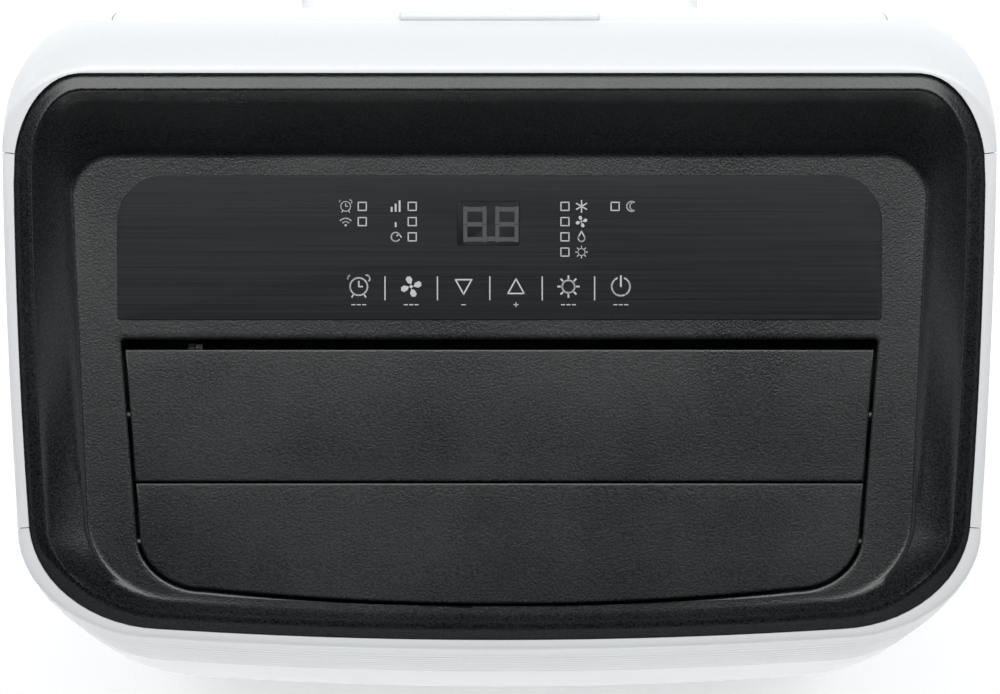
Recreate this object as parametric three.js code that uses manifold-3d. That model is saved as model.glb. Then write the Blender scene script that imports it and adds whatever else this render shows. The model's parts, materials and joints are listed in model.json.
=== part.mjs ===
// Portable air conditioner: a free-standing cabinet on four casters.
// Millimetres, +Z up, the front faces -Y.
// The origin is on the floor, under the middle of the cabinet.
import * as THREE from 'three';
import { mergeVertices } from 'three/addons/utils/BufferGeometryUtils.js';
import Module from 'manifold-3d';

const wasm = await Module();
wasm.setup();

// ---------------------------------------------------------------- driving dimensions
const WIDTH = 440;                 // across the casing at the rim
const HEIGHT = 700;                // floor to the rear of the rim
const FRONT_Y = -175;              // furthest forward point of the front panel
const REAR_Y = 175;                // rear face of the exhaust frame
const RIM_FRONT_Y = -135;          // front edge of the casing at the rim
const RIM_REAR_Y = 145.5;          // top edge of the intake grille
const RIM_SLOPE = 0.16;            // the rim falls this much per millimetre towards the front
const BOWL_DEPTH = 32;             // rim down to the bowl's floor, at the rear
const FLOOR_SLOPE = 0.05;          // the bowl's floor falls this much per millimetre towards the front
const CASTER_HEIGHT = 45;          // floor to the underside of the base tray
const WALL = 3;                    // casing wall
const THIN_WALL = 2.5;             // ducts and fan housings
const GAP = 0.4;                   // between neighbouring pieces
const RUNNING = 0.3;               // around a pin that turns in a hole

const BEZEL_HALF = 214.5;          // half width of the bezel's outer edge
const BEZEL_FRONT_Y = -131;
const SIDE_TAPER = 4.5;            // how much narrower the cabinet is towards the front, each side
const BEZEL_REAR_Y = 120.4;
const BEZEL_RIM = 6.6;             // flat band round the bowl
const BOWL_FLOOR_HALF = 190.4;     // half width of the bowl's floor
const BOWL_FLOOR_REAR_Y = 85.9;
const BEZEL_SKIRT = 18;            // depth of the bezel's outer skirt

const FILM_HALF = 170.7;             // control film
const FILM_REAR_Y = 76.7;
const FILM_FRONT_Y = 12.2;
const FILM_THICKNESS = 0.8;
const DISPLAY_WIDTH = 27.9;
const DISPLAY_DEPTH = 19.6;
const DISPLAY_X = -5;
const DISPLAY_Y = 55.2;
const BOARD_THICKNESS = 1.6;

const OUTLET_REAR_Y = 3.3;         // air outlet opening in the bowl's floor
const OUTLET_HALF = 169.2;         // its half width at the rear
const OUTLET_TAPER = 6.5;          // how much narrower it is at the front, each side
const OUTLET_FRONT_Y = -116.6;
const OUTLET_BOW = 7;              // how far the middle of its front edge stands forward of its ends
const LEAF_REAR_GAP = 4.4;         // behind the rear leaf
const LEAF_EDGE_GAP = 1.5;         // round the leaves elsewhere
const LEAF_SEAM_Y = -60.6;           // between the two leaves
const LEAF_SEAM = 0.6;
const LEAF_THICKNESS = 3;
const LEAF_AXIS_DEPTH = 8;         // turning axis below a leaf's top face
const LEAF_PIN_R = 3;
const CRANK_REACH = 28;            // crank pin behind the turning axis
const CRANK_DROP = 8;              // crank pin below the turning axis
const CRANK_THICKNESS = 3;         // crank arm and link
const CRANK_PIN_R = 2;
const CRANK_X = 29.2 - OUTLET_HALF;
const LUG_INSET = 13.4;            // a leaf's lugs, in from the opening's rear half width
const MOTOR_OFFSET = 9.6;          // motor body below its own shaft

const DUCT_HALF = OUTLET_HALF + 0.6; // inside half width of the outlet duct
const DUCT_BOTTOM = HEIGHT - 125;
const VANE_COUNT = 6;
const VANE_SIDE_ROOM = 44.8;       // from the duct's wall to the outermost vane
const VANE_PITCH = (2 * (DUCT_HALF - VANE_SIDE_ROOM)) / (VANE_COUNT - 1);
const VANE_LENGTH = 60;
const VANE_BOTTOM = DUCT_BOTTOM + 11;
const VANE_TOP = VANE_BOTTOM + 26;
const VANE_THICKNESS = 2;
const VANE_PIN_R = 2;
const VANE_LINK_REACH = 24;        // link pin in front of the vane's axis

const SEAM_REAR_Y = 86;            // rear cover to side panels
const SEAM_FRONT_Y = -81;          // side panels to front panel
const GRILLE_HALF = 172;
const GRILLE_BOTTOM = 420;
const GRILLE_TOP = HEIGHT - 18;
const GRILLE_PITCH = 17;
const SLOT_HEIGHT = 8;
const TAB_WIDTH = 89;              // finger tab on the grille's top edge
const TAB_HEIGHT = 9;
const FILTER_COLUMNS = 4;
const FILTER_ROWS = 3;
const FILTER_CELL_WIDTH = 70;
const FILTER_CELL_HEIGHT = 63;
const FILTER_RIB_X = 6.5;
const FILTER_RIB_Z = 7;
const LOWER_SLOT_BOTTOM = 88;
const LOWER_SLOT_COUNT = 7;
const LOWER_SLOT_HALF = 150;
const EXHAUST_WIDTH = 198;
const EXHAUST_HEIGHT = 160;
const EXHAUST_Z = 305;
const EXHAUST_R = 70;              // bore that takes the hose collar
const EXHAUST_DEPTH = 17;
const EXHAUST_DUCT_HALF = 78;      // half width of the duct behind the hose block

const HANDLE_Y = 0;
const HANDLE_Z = 560;
const HANDLE_LENGTH = 130;
const HANDLE_HEIGHT = 56;
const HANDLE_DEPTH = 30;

const DIVIDER_Z = 402;             // tray between the cold and the warm half
const DIVIDER_HALF = 176;
const DIVIDER_DEPTH = 260;
const DIVIDER_HEIGHT = 10;
const COIL_HALF = 150;
const COIL_DEPTH = 34;
const COIL_FRONT_Y = 92;
const UPPER_FAN = { x: 0, y: -48, z: 494, radius: 78, wheel: 62, depth: 96 };
const LOWER_FAN = { x: 62, y: -18, z: 168, radius: 88, wheel: 70, depth: 96 };
const FAN_BLADES = 20;
const CONTROL_BOX = { x0: 50, x1: 170, front: -152, back: -112, bottom: 280, top: 385 };
const CAPACITOR = { x: 20, y: -130, z: 290, radius: 18, height: 75 };
const COMPRESSOR = { x: -112, y: -30, z: 84, radius: 58, height: 160 };

const CASTER_X = 158;
const CASTER_FRONT_Y = -118;
const CASTER_REAR_Y = 112;
const WHEEL_R = 20;
const WHEEL_WIDTH = 26;
const CASTER_TRAIL = 12;

// ---------------------------------------------------------------- shape helpers
const group = new THREE.Group();
const rimHeight = (y) => HEIGHT + RIM_SLOPE * (y - BEZEL_REAR_Y);
const floorHeight = (y) => HEIGHT - BOWL_DEPTH + FLOOR_SLOPE * (y - BOWL_FLOOR_REAR_Y);

// A closed geometry with shared vertices, as a solid that can be joined and cut.
function solid(geometry) {
  const plain = geometry.clone();
  plain.deleteAttribute('normal');
  plain.deleteAttribute('uv');
  const merged = mergeVertices(plain, 1e-4);
  const vertProperties = new Float32Array(merged.attributes.position.array);
  const triVerts = new Uint32Array(merged.index.array);
  return new wasm.Manifold(new wasm.Mesh({ numProp: 3, vertProperties, triVerts }));
}

function geometryOf(body) {
  const mesh = body.getMesh();
  const geometry = new THREE.BufferGeometry();
  geometry.setAttribute('position', new THREE.Float32BufferAttribute(mesh.vertProperties, 3));
  geometry.setIndex(new THREE.Uint32BufferAttribute(mesh.triVerts, 1));
  geometry.computeVertexNormals();
  return geometry;
}

function place(name, body, finish) {
  const mesh = new THREE.Mesh(geometryOf(body), new THREE.MeshStandardMaterial(finish));
  mesh.name = name;
  group.add(mesh);
}

function block(x0, x1, y0, y1, z0, z1) {
  const geometry = new THREE.BoxGeometry(x1 - x0, y1 - y0, z1 - z0);
  geometry.translate((x0 + x1) / 2, (y0 + y1) / 2, (z0 + z1) / 2);
  return solid(geometry);
}

// A round bar along one axis, from a to b, about the point at.
function bar(axis, radius, a, b, at, sides = 16) {
  const geometry = new THREE.CylinderGeometry(radius, radius, b - a, sides);
  if (axis === 'x') geometry.rotateZ(Math.PI / 2);
  if (axis === 'z') geometry.rotateX(Math.PI / 2);
  const middle = (a + b) / 2;
  geometry.translate(
    axis === 'x' ? middle : at[0],
    axis === 'y' ? middle : at[1],
    axis === 'z' ? middle : at[2],
  );
  return solid(geometry);
}

// A turned body about the vertical line through at. The profile starts and ends on the axis.
function turned(profile, at, sides = 24) {
  const points = profile.map(([radius, height]) => new THREE.Vector2(radius, height));
  const geometry = new THREE.LatheGeometry(points, sides);
  geometry.rotateX(Math.PI / 2);
  geometry.translate(at[0], at[1], at[2]);
  return solid(geometry);
}

// A closed skin through rings of points, lowest first, each ring counter-clockwise from above.
function loft(rings) {
  const count = rings[0].length;
  const positions = rings.flat(2);
  const index = [];
  for (let r = 0; r + 1 < rings.length; r += 1) {
    for (let i = 0; i < count; i += 1) {
      const j = (i + 1) % count;
      const low = r * count;
      const high = low + count;
      index.push(low + i, low + j, high + j, low + i, high + j, high + i);
    }
  }
  const flat = (ring) => ring.map(([x, y]) => new THREE.Vector2(x, y));
  const cap = (ring) => THREE.ShapeUtils.triangulateShape(flat(ring), []);
  for (const [a, b, c] of cap(rings[0])) index.push(a, c, b);
  const top = (rings.length - 1) * count;
  for (const [a, b, c] of cap(rings[rings.length - 1])) index.push(top + a, top + b, top + c);
  const geometry = new THREE.BufferGeometry();
  geometry.setAttribute('position', new THREE.Float32BufferAttribute(positions, 3));
  geometry.setIndex(index);
  return solid(geometry);
}

// Counter-clockwise plan outline: a bowed front edge, sides that may taper and swell, and four round corners.
function outline({ half, front, rear, frontHalf = half, frontCorner, rearCorner, bow = 0, swell = 0 }) {
  const steps = 6;
  const right = [];
  const [frx, fry] = frontCorner;
  const [rrx, rry] = rearCorner;
  for (let i = 1; i <= 3; i += 1) {
    const share = i / 3.5;
    right.push([(frontHalf - frx) * share, front + bow * share * share]);
  }
  for (let i = 0; i <= steps; i += 1) {
    const turn = (i / steps) * (Math.PI / 2);
    right.push([frontHalf - frx + frx * Math.sin(turn), front + bow + fry * (1 - Math.cos(turn))]);
  }
  const low = front + bow + fry;
  const high = rear - rry;
  for (let i = 1; i < 4; i += 1) {
    const share = i / 4;
    const width = share + swell * share * (1 - share);
    right.push([frontHalf + (half - frontHalf) * width, low + (high - low) * share]);
  }
  for (let i = 0; i <= steps; i += 1) {
    const turn = (i / steps) * (Math.PI / 2);
    right.push([half - rrx + rrx * Math.cos(turn), rear - rry + rry * Math.sin(turn)]);
  }
  const left = right.map(([x, y]) => [-x, y]).reverse();
  return [[0, front], ...right, ...left];
}

// A plan outline carried up from one height to another; a height is a number or a function of y.
function prism(plan, low, high) {
  const at = (height, y) => (typeof height === 'function' ? height(y) : height);
  const ring = (height) => plan.map(([x, y]) => [x, y, at(height, y)]);
  return loft([ring(low), ring(high)]);
}

const grown = (shape, by) => ({
  ...shape,
  half: shape.half + by,
  frontHalf: (shape.frontHalf ?? shape.half) + by,
  front: shape.front - by,
  rear: shape.rear + by,
  frontCorner: shape.frontCorner.map((r) => Math.max(r + by, 0.5)),
  rearCorner: shape.rearCorner.map((r) => Math.max(r + by, 0.5)),
});

// ---------------------------------------------------------------- finishes
const WHITE = { color: 0xf1f3f6, roughness: 0.42, metalness: 0 };
const BLACK = { color: 0x23272a, roughness: 0.62, metalness: 0 };
const FILM = { color: 0x34393c, roughness: 0.38, metalness: 0.3 };
const WINDOW = { color: 0x15181a, roughness: 0.15, metalness: 0 };
const BOARD = { color: 0x1d5a37, roughness: 0.6, metalness: 0 };
const INNER = { color: 0xd8dadb, roughness: 0.6, metalness: 0 };
const MESH = { color: 0x2c3033, roughness: 0.8, metalness: 0 };
const FINS = { color: 0xb9c2c8, roughness: 0.4, metalness: 0.9 };
const STEEL = { color: 0x3a3d40, roughness: 0.5, metalness: 0.6 };
const COPPER = { color: 0xb56b3f, roughness: 0.35, metalness: 1 };
const RUBBER = { color: 0x1a1a1a, roughness: 0.9, metalness: 0 };
const WHEEL = { color: 0x4a4d50, roughness: 0.6, metalness: 0 };

// ---------------------------------------------------------------- casing
// Height, half width, front and rear of the cabinet, from the floor up.
const STATIONS = [
  [CASTER_HEIGHT - 3, WIDTH / 2 - 16, FRONT_Y + 3, REAR_Y - 5],
  [160, WIDTH / 2 - 13, FRONT_Y + 0.5, REAR_Y - 5],
  [250, WIDTH / 2 - 11, FRONT_Y, REAR_Y - 6],
  [350, WIDTH / 2 - 8, FRONT_Y + 3.5, REAR_Y - 7],
  [450, WIDTH / 2 - 5, FRONT_Y + 11, REAR_Y - 10],
  [560, WIDTH / 2 - 2, FRONT_Y + 24, REAR_Y - 17],
  [HEIGHT - 50, WIDTH / 2, RIM_FRONT_Y - 4, RIM_REAR_Y + 5],
  [HEIGHT - 38, WIDTH / 2, RIM_FRONT_Y, RIM_REAR_Y + 3.5],
  [HEIGHT - 20, WIDTH / 2, RIM_FRONT_Y, RIM_REAR_Y],
  [HEIGHT - 10, WIDTH / 2, RIM_FRONT_Y, RIM_REAR_Y - 7],
  [HEIGHT - 4, WIDTH / 2, RIM_FRONT_Y, RIM_REAR_Y - 14.5],
  [HEIGHT + 1, WIDTH / 2, RIM_FRONT_Y, BEZEL_REAR_Y + 1],
];
const CASING_CORNERS = { frontCorner: [62, 52], rearCorner: [44, 48], bow: 5, swell: 1 };
const BEZEL_PLAN = {
  half: BEZEL_HALF,
  frontHalf: BEZEL_HALF - SIDE_TAPER,
  front: BEZEL_FRONT_Y,
  rear: BEZEL_REAR_Y,
  frontCorner: [60, 49],
  rearCorner: [30, 44],
  bow: 4.8,
  swell: 1,
};
const BOWL_PLAN = grown(BEZEL_PLAN, -BEZEL_RIM);
const BOWL_FLOOR_PLAN = {
  half: BOWL_FLOOR_HALF,
  frontHalf: BOWL_FLOOR_HALF - 6,
  front: BEZEL_FRONT_Y + 13,
  rear: BOWL_FLOOR_REAR_Y,
  frontCorner: [40, 36],
  rearCorner: [18, 18],
  bow: 6,
};

function casingSkin(inset) {
  const rings = STATIONS.map(([z, half, front, rear]) => {
    const plan = grown({ half, frontHalf: half - SIDE_TAPER, front, rear, ...CASING_CORNERS }, -inset);
    return outline(plan).map(([x, y]) => [x, y, z - inset]);
  });
  if (inset > 0) rings[0] = rings[0].map(([x, y, z]) => [x, y, z - inset]);
  return loft(rings);
}

function belowRim(drop) {
  const reach = WIDTH;
  const corners = [[-reach, -reach], [reach, -reach], [reach, reach], [-reach, reach]];
  return prism(corners, -10, (y) => rimHeight(y) - drop);
}

function makeCasing() {
  const shell = casingSkin(0).intersect(belowRim(0))
    .subtract(casingSkin(WALL).intersect(belowRim(WALL)))
    .subtract(prism(outline(grown(BEZEL_PLAN, GAP)), HEIGHT - 120, HEIGHT + 40));
  const far = WIDTH;
  const half = GAP / 2;
  const handleHole = (side) => block(
    side < 0 ? -far : WIDTH / 2 - 40,
    side < 0 ? 40 - WIDTH / 2 : far,
    HANDLE_Y - HANDLE_LENGTH / 2,
    HANDLE_Y + HANDLE_LENGTH / 2,
    HANDLE_Z - HANDLE_HEIGHT / 2,
    HANDLE_Z + HANDLE_HEIGHT / 2,
  );
  place('front_panel', shell.intersect(block(-far, far, -far, SEAM_FRONT_Y - half, 0, far * 2)), WHITE);
  for (const [name, side] of [['left_side_panel', -1], ['right_side_panel', 1]]) {
    const x = side < 0 ? [-far, -1] : [1, far];
    const region = block(x[0], x[1], SEAM_FRONT_Y + half, SEAM_REAR_Y - half, 0, far * 2);
    place(name, shell.intersect(region).subtract(handleHole(side)), WHITE);
  }
  const rear = shell.intersect(block(-far, far, SEAM_REAR_Y + half, far, 0, far * 2));
  const intake = block(-GRILLE_HALF, GRILLE_HALF, SEAM_REAR_Y + 20, far, GRILLE_BOTTOM, GRILLE_TOP);
  const wide = GRILLE_HALF + GAP;
  let cover = rear
    .subtract(block(-wide, wide, SEAM_REAR_Y + 20, far, GRILLE_BOTTOM - 1, GRILLE_TOP + GAP))
    .subtract(exhaustBlock(GAP))
    .subtract(bar('y', GLAND_R + GAP, SEAM_REAR_Y, far, [GLAND_X, 0, GLAND_Z]));
  for (const [x, z] of DRAINS) {
    cover = cover.subtract(bar('y', DRAIN_R + 1, SEAM_REAR_Y + 20, far, [x, 0, z]));
  }
  for (let row = 0; row < LOWER_SLOT_COUNT; row += 1) {
    const z = LOWER_SLOT_BOTTOM + row * GRILLE_PITCH;
    for (const side of [-1, 1]) {
      const [x0, x1] = side < 0 ? [-LOWER_SLOT_HALF, -DRAIN_R - 8] : [DRAIN_R + 8, GLAND_X - GLAND_R - 8];
      cover = cover.subtract(block(x0, x1, SEAM_REAR_Y + 20, far, z, z + SLOT_HEIGHT));
    }
  }
  place('rear_cover', cover, WHITE);
  makeGrille(rear.intersect(intake));
}

// ---------------------------------------------------------------- rear
const GLAND_X = 145;
const GLAND_Z = 100;
const GLAND_R = 9;
const DRAIN_R = 9;
const DRAINS = [[0, GRILLE_BOTTOM - 12], [0, 66]];
const DRAIN_CAP_Y = REAR_Y - 9.5;  // outer face of a drain plug, sunk in its hole
const EXHAUST_FRONT_Y = REAR_Y - EXHAUST_DEPTH;

function exhaustBlock(margin) {
  const half = EXHAUST_WIDTH / 2 + margin;
  const tall = EXHAUST_HEIGHT / 2 + margin;
  return block(-half, half, EXHAUST_FRONT_Y, REAR_Y + margin, EXHAUST_Z - tall, EXHAUST_Z + tall);
}

function makeGrille(panel) {
  let grille = panel;
  const rows = Math.floor((GRILLE_TOP - GRILLE_BOTTOM - 50) / GRILLE_PITCH);
  for (let row = 0; row < rows; row += 1) {
    const z = GRILLE_BOTTOM + 20 + row * GRILLE_PITCH;
    for (const side of [-1, 1]) {
      const [x0, x1] = side < 0 ? [20 - GRILLE_HALF, -4] : [4, GRILLE_HALF - 20];
      grille = grille.subtract(block(x0, x1, SEAM_REAR_Y + 20, WIDTH, z, z + SLOT_HEIGHT));
    }
  }
  const tabHalf = TAB_WIDTH / 2;
  const tab = block(-tabHalf, tabHalf, RIM_REAR_Y - 2, RIM_REAR_Y + 4, GRILLE_TOP - TAB_HEIGHT, GRILLE_TOP);
  place('intake_grille', grille.add(tab), WHITE);
  const filterY = RIM_REAR_Y - 12;
  const half = GRILLE_HALF - 12;
  let filter = block(-half, half, filterY, filterY + 4, GRILLE_BOTTOM + 12, GRILLE_TOP - 30);
  for (let column = 0; column < FILTER_COLUMNS; column += 1) {
    for (let row = 0; row < FILTER_ROWS; row += 1) {
      const x = 20 - GRILLE_HALF + column * (FILTER_CELL_WIDTH + FILTER_RIB_X);
      const z = GRILLE_BOTTOM + 20 + row * (FILTER_CELL_HEIGHT + FILTER_RIB_Z);
      const cell = block(x, x + FILTER_CELL_WIDTH, filterY + 1.5, filterY + 5, z, z + FILTER_CELL_HEIGHT);
      filter = filter.subtract(cell);
    }
  }
  place('intake_filter', filter, MESH);
}

function makeExhaust() {
  const bore = bar('y', EXHAUST_R, EXHAUST_FRONT_Y - 1, REAR_Y + 1, [0, 0, EXHAUST_Z], 32);
  place('exhaust_frame', exhaustBlock(0).subtract(bore), WHITE);
  const at = [0, 0, EXHAUST_Z];
  const y0 = EXHAUST_FRONT_Y - 8;
  const y1 = EXHAUST_FRONT_Y - GAP;
  let guard = bar('y', EXHAUST_R - 2, y0, y1, at, 32)
    .subtract(bar('y', EXHAUST_R - 7, y0 - 1, y1 + 1, at, 32));
  for (const rise of [-40, -20, 0, 20, 40]) {
    const reach = Math.sqrt((EXHAUST_R - 5) ** 2 - rise * rise);
    guard = guard.add(block(-reach, reach, y0 + 2, y1 - 2, EXHAUST_Z + rise - 1.5, EXHAUST_Z + rise + 1.5));
  }
  guard = guard.add(block(-1.5, 1.5, y0 + 1, y1 - 1, EXHAUST_Z - EXHAUST_R + 5, EXHAUST_Z + EXHAUST_R - 5));
  place('exhaust_guard', guard, BLACK);
  const gland = bar('y', GLAND_R, REAR_Y - 18, REAR_Y - 1, [GLAND_X, 0, GLAND_Z]);
  place('cord_gland', gland.subtract(bar('y', 3.6, REAR_Y - 10, REAR_Y, [GLAND_X, 0, GLAND_Z])), BLACK);
  for (const [name, [x, z]] of [['upper_drain_plug', DRAINS[0]], ['lower_drain_plug', DRAINS[1]]]) {
    const plug = bar('y', DRAIN_R, DRAIN_CAP_Y - 7, DRAIN_CAP_Y, [x, 0, z])
      .add(bar('y', DRAIN_R - 3, DRAIN_CAP_Y - 14, DRAIN_CAP_Y - 6, [x, 0, z]));
    place(name, plug, INNER);
  }
}

function makeHandles() {
  for (const [name, side] of [['left_handle', -1], ['right_handle', 1]]) {
    const inner = WIDTH / 2 - 2 - HANDLE_DEPTH;
    const outer = WIDTH / 2 - 0.6;
    const x = (a, b) => (side < 0 ? [-b, -a] : [a, b]);
    const y0 = HANDLE_Y - HANDLE_LENGTH / 2 + GAP;
    const y1 = HANDLE_Y + HANDLE_LENGTH / 2 - GAP;
    const z0 = HANDLE_Z - HANDLE_HEIGHT / 2 + GAP;
    const z1 = HANDLE_Z + HANDLE_HEIGHT / 2 - GAP;
    const [x0, x1] = x(inner, outer);
    const [p0, p1] = x(inner + THIN_WALL, outer + 1);
    const pocket = block(p0, p1, y0 + THIN_WALL, y1 - THIN_WALL, z0 + THIN_WALL, z1 - THIN_WALL);
    place(name, block(x0, x1, y0, y1, z0, z1).subtract(pocket), BLACK);
  }
}

// ---------------------------------------------------------------- top
const OUTLET_PLAN = {
  half: OUTLET_HALF,
  frontHalf: OUTLET_HALF - OUTLET_TAPER,
  front: OUTLET_FRONT_Y,
  rear: OUTLET_REAR_Y,
  frontCorner: [30, 26],
  rearCorner: [1.8, 1.8],
  bow: OUTLET_BOW,
};

function makeBezel() {
  const reach = 30;
  const past = 0.4;
  const bowl = (by) => loft([
    outline(grown(BOWL_FLOOR_PLAN, by)).map(([x, y]) => [x, y, floorHeight(y) - by]),
    outline(grown(BOWL_PLAN, by + past)).map(([x, y]) => [x, y, rimHeight(y) + past - by / 2]),
    outline(grown(BOWL_PLAN, by + past)).map(([x, y]) => [x, y, rimHeight(y) + reach]),
  ]);
  const rim = (y) => rimHeight(y);
  const band = prism(outline(BEZEL_PLAN), (y) => rim(y) - BEZEL_SKIRT, rim);
  const inside = outline(grown(BEZEL_PLAN, -THIN_WALL));
  const under = prism(inside, (y) => rim(y) - BEZEL_SKIRT - 1, (y) => rim(y) - WALL);
  const thick = bowl(WALL).intersect(prism(outline(grown(BEZEL_PLAN, -1)), HEIGHT - 120, rim));
  const opening = prism(outline(OUTLET_PLAN), HEIGHT - 120, HEIGHT + 20);
  const bezel = band.subtract(under.subtract(thick)).add(thick).subtract(bowl(0)).subtract(opening);
  place('top_bezel', bezel, BLACK);
  const film = outline({
    half: FILM_HALF, front: FILM_FRONT_Y, rear: FILM_REAR_Y, frontCorner: [1.5, 1.5], rearCorner: [21, 21],
  });
  const lift = (height) => (y) => floorHeight(y) + height;
  const halfW = DISPLAY_WIDTH / 2;
  const halfD = DISPLAY_DEPTH / 2;
  const windowPlan = (by) => [[-1, -1], [1, -1], [1, 1], [-1, 1]]
    .map(([x, y]) => [DISPLAY_X + x * (halfW + by), DISPLAY_Y + y * (halfD + by)]);
  const cut = prism(windowPlan(GAP / 2), HEIGHT - 120, HEIGHT);
  place('control_film', prism(film, lift(GAP / 2), lift(GAP / 2 + FILM_THICKNESS)).subtract(cut), FILM);
  place('display_window', prism(windowPlan(0), lift(GAP / 2), lift(GAP / 2 + FILM_THICKNESS)), WINDOW);
  const boardPlan = [[-130, 18], [130, 18], [130, 68], [-130, 68]];
  place('display_board', prism(boardPlan, lift(-14), lift(BOARD_THICKNESS - 14)), BOARD);
}

// The two leaves of the outlet louvre, their link and their motor.
const LEAF_PLAN = grown(OUTLET_PLAN, -LEAF_EDGE_GAP);
const LEAF_REAR_Y = OUTLET_REAR_Y - LEAF_REAR_GAP;
const LEAF_FRONT_Y = OUTLET_FRONT_Y + LEAF_EDGE_GAP;
const REAR_AXIS_Y = (LEAF_REAR_Y + LEAF_SEAM_Y) / 2;
const FRONT_AXIS_Y = (LEAF_SEAM_Y + LEAF_FRONT_Y) / 2;
const axisHeight = (y) => floorHeight(y) - LEAF_AXIS_DEPTH;

function makeLouvre() {
  const far = WIDTH;
  const plate = prism(outline(LEAF_PLAN), (y) => floorHeight(y) - LEAF_THICKNESS, floorHeight);
  const leaf = (name, y, low, high) => {
    const z = axisHeight(y);
    let body = plate.intersect(block(-far, far, low, high, 0, far * 2));
    for (const side of [-1, 1]) {
      const lug = side * (OUTLET_HALF - LUG_INSET);
      body = body.add(block(lug - 2, lug + 2, y - 5, y + 5, z - 5, floorHeight(y) - 1));
      const [a, b] = side < 0 ? [-DUCT_HALF - THIN_WALL, lug] : [lug, DUCT_HALF + THIN_WALL];
      body = body.add(bar('x', LEAF_PIN_R, a, b, [0, y, z]));
    }
    const pin = [0, y + CRANK_REACH, z - CRANK_DROP];
    const armFace = (near, end) => [
      [CRANK_X, y - 4, z + near],
      [CRANK_X + CRANK_THICKNESS, y - 4, z + near],
      [CRANK_X + CRANK_THICKNESS, pin[1] + 5, pin[2] + end],
      [CRANK_X, pin[1] + 5, pin[2] + end],
    ];
    const arm = loft([armFace(-2, -5), armFace(6, 4)]);
    const hole = bar('x', CRANK_PIN_R + RUNNING, CRANK_X - 1, CRANK_X + CRANK_THICKNESS + 1, pin);
    body = body.add(arm).subtract(hole);
    place(name, body, BLACK);
  };
  leaf('rear_louvre', REAR_AXIS_Y, LEAF_SEAM_Y + LEAF_SEAM / 2, LEAF_REAR_Y);
  leaf('front_louvre', FRONT_AXIS_Y, -far, LEAF_SEAM_Y - LEAF_SEAM / 2);
  const ends = [REAR_AXIS_Y, FRONT_AXIS_Y].map((y) => [y + CRANK_REACH, axisHeight(y) - CRANK_DROP]);
  const [[rearY, rearZ], [frontY, frontZ]] = ends;
  const x0 = CRANK_X + CRANK_THICKNESS + GAP;
  const x1 = x0 + CRANK_THICKNESS;
  const linkFace = (rise) => [
    [x0, frontY - 4, frontZ + rise],
    [x1, frontY - 4, frontZ + rise],
    [x1, rearY + 4, rearZ + rise],
    [x0, rearY + 4, rearZ + rise],
  ];
  let link = loft([linkFace(-3), linkFace(3)]);
  for (const [y, z] of ends) link = link.add(bar('x', CRANK_PIN_R, CRANK_X - 1, x0 + 1, [0, y, z]));
  place('louvre_link', link, BLACK);
  const at = [0, REAR_AXIS_Y, axisHeight(REAR_AXIS_Y) - MOTOR_OFFSET];
  const motor = bar('x', 14, DUCT_HALF + THIN_WALL + GAP, DUCT_HALF + THIN_WALL + 19, at, 20);
  place('louvre_motor', motor, STEEL);
}

function makeOutletDuct() {
  const plan = (by) => [
    [-DUCT_HALF - by, OUTLET_FRONT_Y - by],
    [DUCT_HALF + by, OUTLET_FRONT_Y - by],
    [DUCT_HALF + by, OUTLET_REAR_Y + by],
    [-DUCT_HALF - by, OUTLET_REAR_Y + by],
  ];
  const top = (y) => floorHeight(y) - WALL - GAP;
  const { x, y: fanY, radius, depth } = UPPER_FAN;
  const [front, back] = [fanY - depth / 2 + THIN_WALL, fanY + depth / 2 - THIN_WALL];
  const [left, right] = [x - 10 + THIN_WALL, x + radius - THIN_WALL];
  const fromFan = block(left, right, front, back, DUCT_BOTTOM - 1, DUCT_BOTTOM + 5);
  let duct = prism(plan(THIN_WALL), DUCT_BOTTOM, top)
    .subtract(prism(plan(0), DUCT_BOTTOM + THIN_WALL, (y) => top(y) + 1))
    .subtract(fromFan);
  for (const y of [REAR_AXIS_Y, FRONT_AXIS_Y]) {
    const at = [0, y, axisHeight(y)];
    duct = duct.subtract(bar('x', LEAF_PIN_R + RUNNING, -DUCT_HALF - 5, DUCT_HALF + 5, at));
  }
  const railY = VANE_Y;
  duct = duct.add(block(-DUCT_HALF - 1, DUCT_HALF + 1, railY - 5, railY + 5, VANE_BOTTOM - 7, VANE_BOTTOM - 2));
  for (const x of vanePlaces()) {
    duct = duct.subtract(bar('z', VANE_PIN_R + RUNNING, VANE_BOTTOM - 9, VANE_BOTTOM, [x, railY, 0]));
  }
  place('outlet_duct', duct, BLACK);
}

const VANE_Y = (OUTLET_FRONT_Y + OUTLET_REAR_Y) / 2;
const VANE_MIDDLE = (VANE_COUNT - 1) / 2;
const vanePlaces = () => Array.from({ length: VANE_COUNT }, (_, i) => (i - VANE_MIDDLE) * VANE_PITCH);

function makeVanes() {
  const pinY = VANE_Y - VANE_LINK_REACH;
  vanePlaces().forEach((x, i) => {
    const half = VANE_THICKNESS / 2;
    const long = VANE_LENGTH / 2;
    const vane = block(x - half, x + half, VANE_Y - long, VANE_Y + long, VANE_BOTTOM, VANE_TOP)
      .add(bar('z', VANE_PIN_R, VANE_BOTTOM - 7, VANE_BOTTOM + 3, [x, VANE_Y, 0], 12))
      .add(bar('z', 1.5, VANE_BOTTOM - 6, VANE_BOTTOM + 3, [x, pinY, 0], 12));
    place(`air_vane_${i + 1}`, vane, BLACK);
  });
  const [first, last] = [vanePlaces()[0], vanePlaces()[VANE_COUNT - 1]];
  let link = block(first - 5, last + 5, pinY - 4, pinY + 4, VANE_BOTTOM - 5, VANE_BOTTOM - 2);
  for (const x of vanePlaces()) link = link.subtract(bar('z', 1.5 + RUNNING, 0, HEIGHT, [x, pinY, 0], 12));
  place('vane_link', link, BLACK);
}

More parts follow.
